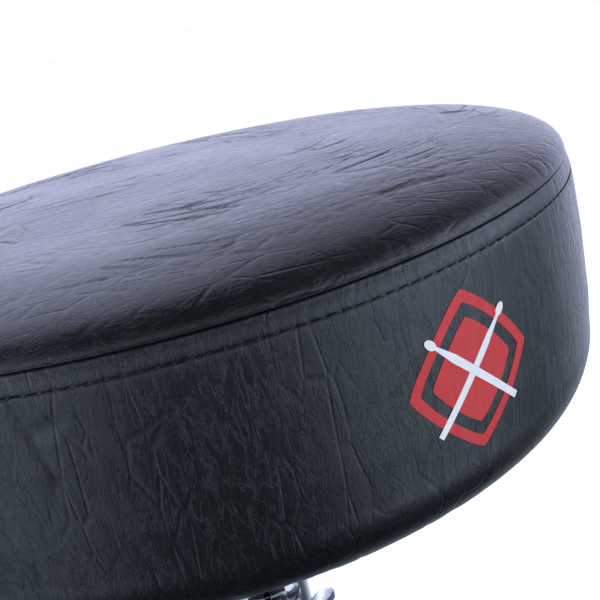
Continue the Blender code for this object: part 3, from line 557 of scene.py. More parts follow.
# ---------------------------------------------------------------- modelling by hand
def clear_selection():
    if bpy.context.object and bpy.context.object.mode != "OBJECT":
        bpy.ops.object.mode_set(mode="OBJECT")
    bpy.ops.object.select_all(action="DESELECT")


def pick(piece):
    clear_selection()
    piece.select_set(True)
    bpy.context.view_layer.objects.active = piece


def named(name):
    piece = bpy.context.object
    piece.name = name
    piece.data.name = name
    return piece


def settle(piece):
    """Puts the object's place into its mesh."""
    pick(piece)
    bpy.ops.object.transform_apply(location=True, rotation=True, scale=True)


def apply_modifier(piece, kind, **settings):
    pick(piece)
    step = piece.modifiers.new(kind.lower(), kind)
    for name, value in settings.items():
        setattr(step, name, value)
    bpy.ops.object.modifier_apply(modifier=step.name)


def dress(piece, material, body, slot, *nodes):
    """Gives a finished piece its material, its body and the nodes it stands for; its record slot is not used.
    """
    piece.data.materials.clear()
    piece.data.materials.append(material)
    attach(piece, body)
    if nodes:
        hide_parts(*nodes)
    return piece


def smooth_edges(piece, degrees=35.0):
    pick(piece)
    bpy.ops.object.shade_smooth_by_angle(angle=radians(degrees))


def spun(name, outline, sides, closed=True):
    """Draws an outline of (radius, height) points and turns it about the post's axis."""
    clear_selection()
    bpy.ops.mesh.primitive_circle_add(vertices=len(outline), radius=0.1, fill_type="NOTHING")
    piece = named(name)
    for point, (radius, height) in zip(piece.data.vertices, outline):
        point.co = (radius, 0.0, height)
    if not closed:
        last = {0, len(outline) - 1}
        for point in piece.data.vertices:
            point.select = False
        for edge in piece.data.edges:
            edge.select = set(edge.vertices) == last
        bpy.ops.object.mode_set(mode="EDIT")
        bpy.ops.mesh.select_mode(type="EDGE")
        bpy.ops.mesh.delete(type="EDGE")
        bpy.ops.object.mode_set(mode="OBJECT")
    apply_modifier(piece, "SCREW", axis="Z", angle=2.0 * pi, steps=sides, render_steps=sides,
                   use_merge_vertices=True, merge_threshold=MERGE_GAP)
    piece.location = (0.0, AXIS_Y, 0.0)
    settle(piece)
    face_outwards(piece)
    return piece


def face_outwards(piece):
    pick(piece)
    bpy.ops.object.mode_set(mode="EDIT")
    bpy.ops.mesh.select_mode(type="VERT")
    bpy.ops.mesh.select_all(action="SELECT")
    bpy.ops.mesh.remove_doubles(threshold=MERGE_GAP)
    bpy.ops.mesh.normals_make_consistent(inside=False)
    bpy.ops.object.mode_set(mode="OBJECT")


def arc(middle, radius, start, end, steps):
    """Points along an arc between two angles in degrees."""
    angles = [radians(start + (end - start) * i / steps) for i in range(steps + 1)]
    return [(middle[0] + radius * cos(a), middle[1] + radius * sin(a)) for a in angles]


def spaced(points, step):
    """Points along a polyline no further apart than step."""
    line = [points[0]]
    for (r_a, z_a), (r_b, z_b) in zip(points, points[1:]):
        count = max(1, round(hypot(r_b - r_a, z_b - z_a) / step))
        line += [(r_a + (r_b - r_a) * i / count, z_a + (z_b - z_a) * i / count) for i in range(1, count + 1)]
    return line


def vertex_array(piece):
    values = np.empty(len(piece.data.vertices) * 3)
    piece.data.vertices.foreach_get("co", values)
    return values.reshape(-1, 3)


def normal_array(piece):
    values = np.empty(len(piece.data.vertices) * 3, np.float32)
    piece.data.vertices.foreach_get("normal", values)
    return values.reshape(-1, 3).astype(float)


def move_vertices(piece, places):
    piece.data.vertices.foreach_set("co", places.reshape(-1))
    piece.data.update()


# ---------------------------------------------------------------- shape of the cover
def step_up(value, low, high):
    """0 below low, 1 above high, smooth between them."""
    share = np.clip((value - low) / (high - low), 0.0, 1.0)
    return share * share * (3.0 - 2.0 * share)


def noise_field(points, scale, shift):
    """Smooth gradient noise, from about -1 to 1, at each point after scaling."""
    spots = points * np.array(scale, float) + np.array(shift, float)
    cell = np.floor(spots).astype(np.int64)
    inside = spots - cell
    blend = inside ** 3 * (inside * (inside * 6.0 - 15.0) + 10.0)
    total = np.zeros(len(points))
    for corner in np.ndindex(2, 2, 2):
        steps = np.array(corner)
        slope = NOISE_SLOPES[lattice_code(cell + steps)]
        share = np.prod(np.where(steps == 1, blend, 1.0 - blend), axis=1)
        total += share * np.sum(slope * (inside - steps), axis=1)
    return total * 1.6


def lattice_code(cell):
    """A repeatable number from 0 to 1023 for each whole-numbered place."""
    mixed = cell[:, 0] * 73856093 ^ cell[:, 1] * 19349663 ^ cell[:, 2] * 83492791
    return (mixed ^ mixed >> 13) & 1023


def crease_lines(points, scale, shift, width, wander=0.9):
    """1 along thin wandering lines, 0 away from them."""
    scale = np.array(scale, float)
    sway = noise_field(points, scale * 0.45, (7.3, 1.1, 4.2))
    moved = points * scale + wander * sway[:, None]
    field = noise_field(moved, (1.0, 1.0, 1.0), shift)
    return np.clip(1.0 - np.abs(field) / width, 0.0, 1.0) ** 1.5


def cell_borders(points, scale, shift, width, wander=0.35):
    """1 along the borders of an irregular net of cells, 0 inside them; uses x and y only."""
    scale = np.array(scale, float)
    sway_x = noise_field(points, scale * 0.8, (2.1, 7.7, 3.3))
    sway_y = noise_field(points, scale * 0.8, (6.5, 1.9, 8.1))
    spots = points * scale + np.array(shift, float) + wander * np.column_stack([sway_x, sway_y, 0.0 * sway_x])
    cell = np.floor(spots).astype(np.int64)
    first = np.full(len(points), 9.0)
    second = np.full(len(points), 9.0)
    for step_x in range(-2, 3):
        for step_y in range(-2, 3):
            near = cell + np.array((step_x, step_y, 0))
            seed = near[:, :2] + 0.5 + 0.45 * NOISE_SLOPES[lattice_code(near)][:, :2]
            gap = np.hypot(spots[:, 0] - seed[:, 0], spots[:, 1] - seed[:, 1])
            second = np.minimum(second, np.maximum(first, gap))
            first = np.minimum(first, gap)
    return np.clip(1.0 - (second - first) / width, 0.0, 1.0)


def top_creases(points, depth):
    """Creases that run round the crown's shoulder, leaning a little, and fainter ones inside."""
    flat = np.column_stack([points[:, 0], points[:, 1] - AXIS_Y, np.zeros(len(points))])
    radius = np.hypot(flat[:, 0], flat[:, 1])
    angle = np.arctan2(flat[:, 0], -flat[:, 1])
    round_it = np.column_stack([angle * CREASE_RING, radius - CREASE_LEAN * angle * CREASE_RING, flat[:, 2]])
    middle = np.column_stack([flat[:, 0] - 0.25 * flat[:, 1], flat[:, 1] - 0.10 * flat[:, 0], flat[:, 2]])
    outer = step_up(radius, *CREASE_START) * step_up(np.abs(angle), pi - 0.02, pi - 0.20)
    rim = 1.0 - 0.95 * step_up(radius, SEAM_R - 0.026, SEAM_R - 0.012)
    shoulder = crease_web(round_it, (0.3, 0.1, 2.0), 1.0)
    inside = crease_web(middle, (4.1, 2.3, 2.0), 0.9)
    return depth * rim * (outer * shoulder + 0.35 * (1.0 - outer) * inside)


def crease_web(sheet, shift, finer):
    """Depth of a net of long creases with finer ones between them, in shares of the greatest depth."""
    patch = step_up(noise_field(sheet, (13.0, 22.0, 1.0), shift), -0.25, 0.35)
    fine_patch = step_up(noise_field(sheet, (16.0, 26.0, 1.0), shift[::-1]), -0.20, 0.45)
    broken = step_up(noise_field(sheet, (34.0, 70.0, 1.0), shift), -0.25, 0.20)
    long_lines = cell_borders(sheet, (24.0 * finer, 80.0 * finer, 1.0), shift, 0.12) * broken
    more_lines = crease_lines(sheet, (26.0, 95.0, 1.0), shift[::-1], 0.08)
    fine_lines = cell_borders(sheet, (80.0, 200.0, 1.0), shift, 0.26) * fine_patch
    swell = noise_field(sheet, (13.0, 30.0, 1.0), shift)
    return (0.10 * swell - 0.62 * long_lines * (0.12 + 0.88 * patch) - 0.34 * more_lines * (0.1 + 0.9 * patch)
            - 0.13 * fine_lines)


def side_creases(points, depth):
    """Steep slanting creases that start at the row of stitches, in groups."""
    angle = np.arctan2(points[:, 0], -(points[:, 1] - AXIS_Y))
    drop = SEAM_Z - points[:, 2]
    along = angle * SEAM_R - 0.40 * drop
    sheet = np.column_stack([along, drop, np.zeros(len(points))])
    seam = step_up(np.abs(angle), pi - 0.02, pi - 0.20)
    groups = step_up(noise_field(sheet, (13.0, 7.0, 1.0), (2.3, 1.0, 0.0)), -0.05, 0.40)
    near_row = 0.35 + 0.65 * step_up(drop, 0.055, 0.012)
    broken = step_up(noise_field(sheet, (60.0, 25.0, 1.0), (8.0, 1.0, 4.0)), -0.30, 0.25)
    long_lines = cell_borders(sheet, (50.0, 18.0, 1.0), (0.2, 0.4, 1.0), 0.12) * broken
    fine_lines = crease_lines(sheet, (130.0, 30.0, 1.0), (0.0, 9.0, 3.0), 0.14)
    ripple = noise_field(sheet, (75.0, 18.0, 1.0), (6.0, 0.0, 2.0))
    swell = noise_field(sheet, (26.0, 11.0, 1.0), (1.0, 9.0, 6.0))
    edge = step_up(drop, STITCH_DROP * 0.4, STITCH_DROP * 1.6)
    return depth * seam * (0.25 + 0.75 * edge) * (0.50 * swell + 0.14 * ripple * near_row
                                                 - 1.25 * long_lines * groups * near_row
                                                 - 0.26 * fine_lines * (0.10 + 0.90 * groups))


def gathers(points, reach, depth):
    """Small pleats square to the seam that die away from it; reach is the distance from the seam."""
    angle = np.arctan2(points[:, 0], -(points[:, 1] - AXIS_Y))
    ring = np.column_stack([np.cos(angle) * SEAM_R, np.sin(angle) * SEAM_R, np.zeros(len(points))])
    tight = noise_field(ring, (330.0, 330.0, 1.0), (1.0, 2.0, 3.0))
    loose = noise_field(ring, (120.0, 120.0, 1.0), (4.0, 5.0, 6.0))
    here = step_up(noise_field(ring, (16.0, 16.0, 1.0), (9.0, 8.0, 7.0)), -0.25, 0.30)
    fade = np.exp(-np.abs(reach) / GATHER_REACH)
    return depth * fade * here * (0.8 * tight + 0.9 * loose)


PADDING = {}                # the blown-up padding's vertices and how far each has moved out


def padding_swell(piece):
    """How far the blown-up padding below each vertex has moved out, less its usual amount."""
    if "tree" not in PADDING:
        return np.zeros(len(piece.data.vertices))
    swells = PADDING["swell"]
    moves = []
    for place in vertex_array(piece):
        found = PADDING["tree"].find_n(place, SWELL_NEIGHBOURS)
        near = np.array([distance for _, _, distance in found])
        weight = np.exp(-0.5 * (near / SWELL_BLUR) ** 2)
        moves.append(np.dot(weight, swells[[number for _, number, _ in found]]) / weight.sum())
    moves = np.array(moves)
    return SWELL_SHARE * (moves - np.median(moves))


def surface_tree(piece):
    mesh = piece.data
    return BVHTree.FromPolygons([v.co[:] for v in mesh.vertices], [p.vertices[:] for p in mesh.polygons])


def crown_curve(steps):
    """The top's curve from its middle out over the shoulder and down to the seam."""
    flat_edge = SEAM_R - SHOULDER_RUN
    line = [(flat_edge * i / steps, SEAM_Z + SHOULDER_RISE) for i in range(steps)]
    turn = [0.5 * pi * (1.0 - i / (2 * steps)) for i in range(2 * steps + 1)]
    line += [(flat_edge + SHOULDER_RUN * cos(a), SEAM_Z + SHOULDER_RISE * sin(a) ** SHOULDER_SQUARE)
             for a in turn]
    return np.array([(r, z + DOME_RISE * (1.0 - (r / SEAM_R) ** 2)) for r, z in line])


def crown_sheet(name, cells):
    """A square grid drawn out to a disc and pressed to the crown, with even cells from middle to seam."""
    clear_selection()
    bpy.ops.mesh.primitive_grid_add(x_subdivisions=cells, y_subdivisions=cells, size=2.0)
    piece = named(name)
    flat = vertex_array(piece)
    wide = np.abs(flat[:, 0]) > np.abs(flat[:, 1])
    reach = np.where(wide, flat[:, 0], flat[:, 1])
    other = np.where(wide, flat[:, 1], flat[:, 0])
    turn = 0.25 * pi * other / np.where(reach == 0.0, 1.0, reach)
    turn = np.where(wide, turn, 0.5 * pi - turn)
    line = crown_curve(CURVE_STEPS)
    line = line[line[:, 1] > SEAM_Z + SEAM_ROLL]
    length = np.concatenate([[0.0], np.cumsum(np.hypot(*np.diff(line, axis=0).T))])
    along = np.abs(reach) * length[-1]
    radius = np.interp(along, length, line[:, 0]) * np.sign(reach)
    height = np.interp(along, length, line[:, 1])
    move_vertices(piece, np.column_stack([radius * np.cos(turn), AXIS_Y + radius * np.sin(turn), height]))
    return piece, (line[-1][0], line[-1][1])


def draw_in(piece, start, rings):
    """Extrudes a round sheet's open edge through rings of (radius, height), and closes it at the axis."""
    pick(piece)
    bpy.ops.object.mode_set(mode="EDIT")
    bpy.ops.mesh.select_mode(type="EDGE")
    bpy.ops.mesh.select_all(action="DESELECT")
    bpy.ops.mesh.select_non_manifold(extend=False, use_wire=False, use_boundary=True, use_multi_face=False,
                                     use_non_contiguous=False, use_verts=False)
    radius, height = start
    for next_radius, next_height in rings:
        bpy.ops.mesh.extrude_region_move()
        size = next_radius / radius
        bpy.ops.transform.resize(value=(size, size, 1.0), center_override=(0.0, AXIS_Y, height))
        bpy.ops.transform.translate(value=(0.0, 0.0, next_height - height))
        radius, height = next_radius, next_height
    bpy.ops.mesh.merge(type="CENTER")
    bpy.ops.object.mode_set(mode="OBJECT")


def thinned(points, step):
    """Keeps points at least step apart, with the first and the last."""
    kept = [points[0]]
    for point in points[1:-1]:
        if hypot(point[0] - kept[-1][0], point[1] - kept[-1][1]) >= step:
            kept.append(point)
    return kept + [points[-1]]


def band_outline():
    """The side band's outline, outside from the fold at the seam down and under the board, then inside."""
    low = SEAM_Z - BAND_DROP
    turn = (SEAM_R - BAND_TAPER - BAND_EDGE_R, low + BAND_EDGE_R)
    fold_z = SEAM_Z - FOLD_GAP
    start = [(SEAM_R - SEAM_TUCK, fold_z), (SEAM_R - SEAM_TUCK * 0.7, fold_z)]
    fold = arc((SEAM_R - SEAM_ROLL, fold_z - SEAM_ROLL), SEAM_ROLL, 90, 0, 4)
    side = [(SEAM_R + BAND_BULGE, SEAM_Z - BULGE_DROP), (SEAM_R + LOWER_BULGE, SEAM_Z - BULGE_END_DROP)]
    row_top = (SEAM_R + 0.0010, SEAM_Z - STITCH_DROP + ROW_MARGIN)
    row_low = (SEAM_R + STITCH_BULGE, SEAM_Z - STITCH_DROP - ROW_MARGIN)
    upper = spaced([fold[-1], (SEAM_R + 0.0006, SEAM_Z - 0.0030), row_top], 0.0009)
    upper += spaced([row_top, row_low], 0.0003)[1:]
    upper += spaced([row_low, (SEAM_R + 0.0014, SEAM_Z - 0.0120)], 0.0010)[1:]
    lower = spaced([upper[-1], *side, (turn[0] + BAND_EDGE_R, turn[1])], 0.0017)
    around = arc(turn, BAND_EDGE_R, 0, -90, 22)
    under = spaced([around[-1], (TURN_UNDER_R, low)], 0.0030)
    outer = start + fold + upper[1:] + lower[1:] + around[1:] + under[1:]
    inner = [(TURN_UNDER_R, low + VINYL_T), (turn[0], low + VINYL_T)]
    inner += arc(turn, BAND_EDGE_R - VINYL_T, -90, 0, 5)[1:]
    inner += [(SEAM_R + 0.0003 - VINYL_T, SEAM_Z - BULGE_DROP), (SEAM_R - VINYL_T - 0.0005, SEAM_Z - 0.0040)]
    inner += [(SEAM_R - SEAM_TUCK, SEAM_Z - 0.0016)]
    return outer, inner


class THRONE_OT_padding(bpy.types.Operator):
    """Blow up the foam padding under its cover, sewn down at the seam and flat on the board"""

    bl_idname = "throne.padding"
    bl_label = "Foam padding"

    def execute(self, context):
        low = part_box("seat_foam")[0].z
        gap = PADDING_GAP
        edge = SEAM_R - gap
        outline = [(r * edge / SEAM_R, z - gap) for r, z in crown_curve(10) if z > SEAM_Z + gap]
        outline += [(edge, SEAM_Z), (edge, low + 0.030), (edge - 0.004, low + 0.012)]
        outline += [(edge - 0.014, low + 0.002), (edge - 0.020, low), (0.0, low)]
        pad = spun("foam_padding", outline, PADDING_SIDES, closed=False)
        apply_modifier(pad, "REMESH", mode="VOXEL", voxel_size=PADDING_CELL)
        self.blow_up(pad, low)
        apply_modifier(pad, "SUBSURF", levels=1, render_levels=1)
        face_outwards(pad)
        smooth_edges(pad, 60.0)
        dress(pad, foam_material(), "seat", "seat_foam", "seat_foam")
        return {"FINISHED"}

    def blow_up(self, pad, low):
        before = vertex_array(pad)
        radius = np.hypot(before[:, 0], before[:, 1] - AXIS_Y)
        sewn = (np.abs(before[:, 2] - SEAM_Z) < SEWN_HALF) & (radius > SEAM_R - SEWN_DEPTH)
        flat = before[:, 2] < low + SEWN_HALF
        group = pad.vertex_groups.new(name="sewn")
        group.add([int(i) for i in np.nonzero(sewn | flat)[0]], 1.0, "REPLACE")
        pick(pad)
        cloth = pad.modifiers.new("cover", "CLOTH")
        settings = cloth.settings
        settings.quality = 6
        settings.mass = 0.4
        settings.tension_stiffness = PADDING_STIFFNESS
        settings.compression_stiffness = PADDING_STIFFNESS
        settings.bending_stiffness = 0.4
        settings.vertex_group_mass = "sewn"
        settings.use_pressure = True
        settings.uniform_pressure_force = PADDING_PRESSURE
        settings.effector_weights.gravity = 0.0
        cloth.point_cache.frame_start = 1
        cloth.point_cache.frame_end = PADDING_FRAMES
        for number in range(1, PADDING_FRAMES + 1):
            bpy.context.scene.frame_set(number)
        bpy.ops.object.modifier_apply(modifier=cloth.name)
        bpy.context.scene.frame_set(1)
        limit = bpy.context.scene.throne_seat.swell
        moves = vertex_array(pad) - before
        links = np.array([edge.vertices[:] for edge in pad.data.edges])
        count = np.bincount(links.ravel(), minlength=len(moves))[:, None]
        for _ in range(SWELL_PASSES):
            total = np.zeros_like(moves)
            np.add.at(total, links[:, 0], moves[links[:, 1]])
            np.add.at(total, links[:, 1], moves[links[:, 0]])
            moves = 0.5 * moves + 0.5 * total / count
        size = np.linalg.norm(moves, axis=1)
        moves *= (limit / (limit + size))[:, None]
        move_vertices(pad, before + moves)
        outward = np.sum(moves * normal_array(pad), axis=1)
        tree = KDTree(len(before))
        for number, place in enumerate(before):
            tree.insert(place, number)
        tree.balance()
        PADDING["tree"] = tree
        PADDING["swell"] = outward


class THRONE_OT_top_panel(bpy.types.Operator):
    """Model the crowned vinyl top panel with its creases and gathered edge"""

    bl_idname = "throne.top_panel"
    bl_label = "Top panel"

    def execute(self, context):
        seat = context.scene.throne_seat
        panel, rim = crown_sheet("vinyl_top", TOP_CELLS)
        outside = np.ones(len(panel.data.vertices))
        fold = arc((SEAM_R - SEAM_ROLL, SEAM_Z + SEAM_ROLL), SEAM_ROLL, 0, -90, 4)
        fold += [(SEAM_R - SEAM_TUCK, SEAM_Z + 0.00010), (SEAM_R - SEAM_TUCK, SEAM_Z + 0.0013)]
        crown = crown_curve(CURVE_STEPS)[::-1].tolist()
        inner = [(r - VINYL_T, z - VINYL_T) for r, z in thinned(crown, 0.011)]
        inner = [(r, z) for r, z in inner if SEAM_Z + 0.0020 < z and 0.02 < r < SEAM_R - 0.0045]
        draw_in(panel, rim, fold + inner)
        face_outwards(panel)
        places, normals = vertex_array(panel), normal_array(panel)
        outside = np.concatenate([outside, np.zeros(len(places) - len(outside))])
        radius = np.hypot(places[:, 0], places[:, 1] - AXIS_Y)
        reach = np.hypot(radius - SEAM_R, places[:, 2] - SEAM_Z)
        moves = top_creases(places, seat.crease_depth) + gathers(places, reach, seat.pucker_depth)
        moves += padding_swell(panel) * step_up(reach, 0.002, 0.020)
        moves *= outside * step_up(reach, 0.0004, 0.0030)
        moves = np.clip(moves, SKIN_LEFT - VINYL_T, VINYL_T)
        move_vertices(panel, places + normals * moves[:, None])
        smooth_edges(panel, 60.0)
        skin = vinyl_material("grained_vinyl_top", seat, (0.42, 1.0, 1.0), 130.0, 380.0)
        dress(panel, skin, "seat", "black_vinyl", "seat_top_panel")
        return {"FINISHED"}


class THRONE_OT_side_band(bpy.types.Operator):
    """Model the vinyl side band, pulled in at its row of stitches and turned under the board"""

    bl_idname = "throne.side_band"
    bl_label = "Side band"

    def execute(self, context):
        seat = context.scene.throne_seat
        outer, inner = band_outline()
        band = spun("vinyl_side_band", outer + inner, SEAT_SIDES)
        places, normals = vertex_array(band), normal_array(band)
        radius = np.hypot(places[:, 0], places[:, 1] - AXIS_Y)
        low = SEAM_Z - BAND_DROP
        outward = normals[:, 0] * places[:, 0] + normals[:, 1] * (places[:, 1] - AXIS_Y)
        outside = (outward > 0.0) | (normals[:, 2] < -0.3)
        drop = SEAM_Z - places[:, 2]
        under = step_up(low + 0.016 - places[:, 2], 0.0, 0.014)
        moves = side_creases(places, 0.65 * seat.crease_depth) * (1.0 - 0.5 * under)
        moves += gathers(places, drop, seat.pucker_depth)
        moves += padding_swell(band) * step_up(drop, STITCH_DROP, 0.030) * (1.0 - under)
        moves += turned_under_pleats(places, radius, under)
        moves -= stitch_pull(places, drop, seat.stitches)
        moves *= outside * step_up(drop, 0.0002, 0.0020)
        moves *= step_up(radius, TURN_UNDER_R, TURN_UNDER_R + 0.008)
        most = np.where(places[:, 2] < low + 0.002, 0.0010, VINYL_T)
        moves = np.clip(moves, SKIN_LEFT - VINYL_T, most)
        move_vertices(band, places + normals * moves[:, None])
        smooth_edges(band, 60.0)
        skin = vinyl_material("grained_vinyl_side", seat, (1.0, 1.0, 0.30), 150.0, 420.0)
        dress(band, skin, "seat", "black_vinyl", "seat_side_band")
        return {"FINISHED"}


def turned_under_pleats(places, radius, under):
    """Pleats where the vinyl is drawn in and stapled under the board."""
    angle = np.arctan2(places[:, 0], places[:, 1] - AXIS_Y)
    ring = np.column_stack([np.cos(angle), np.sin(angle), np.zeros(len(places))])
    fold = noise_field(ring, (14.0, 14.0, 1.0), (3.0, 3.0, 3.0))
    sharp = np.clip(1.0 - np.abs(fold) / 0.22, 0.0, 1.0)
    return -PLEAT_DEPTH * sharp * under * step_up(SEAM_R - radius, *PLEAT_RUN)


def stitch_pull(places, drop, stitches):
    """The groove that the row of stitches pulls into the band, with a pinch at each needle hole."""
    angle = np.arctan2(places[:, 0], -(places[:, 1] - AXIS_Y))
    row = np.exp(-((drop - STITCH_DROP) / GROOVE_R) ** 2)
    wide = np.exp(-((drop - STITCH_DROP) / PULL_R) ** 2)
    hole = 0.5 - 0.5 * np.cos(angle * stitches)
    return GROOVE_DEPTH * row * (0.55 + 0.45 * hole) + 0.00004 * wide + 0.00010 * wide * hole


class THRONE_OT_stitching(bpy.types.Operator):
    """Model one stitch of thread and copy it round the row under the seam"""

    bl_idname = "throne.stitching"
    bl_label = "Stitching"

    def execute(self, context):
        seat = context.scene.throne_seat
        pitch = 2.0 * pi / seat.stitches
        radius = SEAM_R + 0.0012 - THREAD_SINK
        clear_selection()
        bpy.ops.mesh.primitive_cylinder_add(
            vertices=6, radius=THREAD_R, depth=SEAM_R * pitch * STITCH_SHARE,
            rotation=(0.0, radians(90.0), 0.0),
            location=(0.0, -radius, SEAM_Z - STITCH_DROP))
        stitch = named("stitch_row")
        settle(stitch)
        bpy.ops.object.mode_set(mode="EDIT")
        bpy.ops.mesh.select_all(action="SELECT")
        for side in (1.0, -1.0):
            bpy.ops.mesh.bisect(plane_co=(side * SEAM_R * pitch * 0.22, 0.0, 0.0), plane_no=(1.0, 0.0, 0.0))
            bpy.ops.mesh.select_all(action="SELECT")
        bpy.ops.object.mode_set(mode="OBJECT")
        half = SEAM_R * pitch * 0.5 * STITCH_SHARE
        places = vertex_array(stitch)
        share = np.abs(places[:, 0]) / half
        places[:, 1] += THREAD_END_SINK * share ** 3
        places[:, 2] += places[:, 0] * THREAD_SLANT
        move_vertices(stitch, places)
        ring_of_copies(stitch, seat.stitches)
        stitch.location = (0.0, AXIS_Y, 0.0)
        settle(stitch)
        smooth_edges(stitch, 70.0)
        dress(stitch, kept_material("bonded_thread", thread_material), "seat", "black_vinyl")
        return {"FINISHED"}


def ring_of_copies(piece, count):
    """Copies a mesh that stands beside the Z axis evenly round it."""
    clear_selection()
    bpy.ops.object.empty_add(location=(0.0, 0.0, 0.0), rotation=(0.0, 0.0, 2.0 * pi / count))
    step = bpy.context.object
    apply_modifier(piece, "ARRAY", count=count, use_relative_offset=False, use_object_offset=True,
                   offset_object=step)
    bpy.data.objects.remove(step)


class THRONE_OT_mark(bpy.types.Operator):
    """Model a plain printed badge, a diamond with two crossed drumsticks, and lay it on the side band"""

    bl_idname = "throne.mark"
    bl_label = "Printed badge"

    def execute(self, context):
        band = bpy.data.objects["vinyl_side_band"]
        red = print_material("printed_red", (0.44, 0.016, 0.022))
        white = print_material("printed_white", (0.62, 0.67, 0.75))
        for name, outer, inner in (("badge_frame", 1.0, 0.84), ("badge_diamond", 0.66, 0.0)):
            diamond = flat_diamond(name, outer, inner)
            lay_on_band(diamond, band, BADGE_LIFT)
            dress(diamond, red, "seat", "black_vinyl")
        sticks = (("badge_stick_left", BADGE_LEAN), ("badge_stick_right", -BADGE_LEAN))
        for (name, lean), lift in zip(sticks, STICK_LIFTS):
            stick = flat_stick(name, lean)
            lay_on_band(stick, band, lift)
            dress(stick, white, "seat", "black_vinyl")
        return {"FINISHED"}


def flat_diamond(name, outer, inner):
    """A diamond with rounded corners, flat and facing the front; a frame where inner is more than 0."""
    clear_selection()
    fill = "NOTHING" if inner else "NGON"
    bpy.ops.mesh.primitive_circle_add(vertices=BADGE_SIDES, radius=1.0, fill_type=fill)
    piece = named(name)
    for number, point in enumerate(piece.data.vertices):
        angle = 2.0 * pi * (number + 0.5) / BADGE_SIDES
        across, up = cos(angle), sin(angle)
        point.co = (outer * BADGE_HALF_WIDTH * abs(across) ** BADGE_POWER * (1 if across > 0 else -1), 0.0,
                    outer * BADGE_HALF_HEIGHT * abs(up) ** BADGE_POWER * (1 if up > 0 else -1))
    if inner:
        bpy.ops.object.mode_set(mode="EDIT")
        bpy.ops.mesh.select_all(action="SELECT")
        bpy.ops.mesh.extrude_region_move()
        size = inner / outer
        bpy.ops.transform.resize(value=(size, 1.0, size), center_override=(0.0, 0.0, 0.0))
        bpy.ops.object.mode_set(mode="OBJECT")
    return piece


def flat_stick(name, lean):
    """A drumstick outline: shaft, shoulder and oval tip."""
    clear_selection()
    wide, tall, middle = STICK_TIP
    tip = [(wide * sin(radians(a)), middle - tall * cos(radians(a))) for a in range(30, 181, 30)]
    half = [*STICK_SIDE, *tip]
    outline = half + [(-x, z) for x, z in reversed(half[:-1])]
    bpy.ops.mesh.primitive_circle_add(vertices=len(outline), radius=0.01, fill_type="NGON")
    piece = named(name)
    turn = Matrix.Rotation(radians(lean), 3, "Y")
    for point, (x, z) in zip(piece.data.vertices, outline):
        point.co = turn @ Vector((x, 0.0, z))
    return piece


def lay_on_band(piece, band, lift):
    """Cuts a flat shape finely, wraps it round the band and rests it on the vinyl."""
    pick(piece)
    bpy.ops.object.mode_set(mode="EDIT")
    for axis in (0, 2):
        for number in range(-BADGE_CUTS, BADGE_CUTS + 1):
            bpy.ops.mesh.select_all(action="SELECT")
            spot = [0.0, 0.0, 0.0]
            spot[axis] = number * BADGE_CELL
            normal = [0.0, 0.0, 0.0]
            normal[axis] = 1.0
            bpy.ops.mesh.bisect(plane_co=spot, plane_no=normal)
    bpy.ops.object.mode_set(mode="OBJECT")
    places = vertex_array(piece)
    angle = BADGE_BEARING + places[:, 0] / SEAM_R
    height = SEAM_Z - BADGE_DROP + places[:, 2]
    outside = SEAM_R + 0.010
    wrapped = np.column_stack([outside * np.sin(angle), AXIS_Y - outside * np.cos(angle), height])
    tree = surface_tree(band)
    for index, place in enumerate(wrapped):
        inward = Vector((-sin(angle[index]), cos(angle[index]), 0.0))
        hit, normal, _, _ = tree.ray_cast(Vector(place), inward)
        if hit is not None:
            wrapped[index] = hit - inward * lift
    move_vertices(piece, wrapped)
    bpy.ops.object.mode_set(mode="EDIT")
    bpy.ops.mesh.select_all(action="SELECT")
    bpy.ops.mesh.normals_make_consistent(inside=False)
    bpy.ops.object.mode_set(mode="OBJECT")
    middle = piece.data.polygons[0]
    outward = Vector((sin(BADGE_BEARING), -cos(BADGE_BEARING), 0.0))
    if middle.normal.dot(outward) < 0.0:
        piece.data.flip_normals()
    apply_modifier(piece, "SOLIDIFY", thickness=0.00010, offset=-1.0)
    smooth_edges(piece, 50.0)


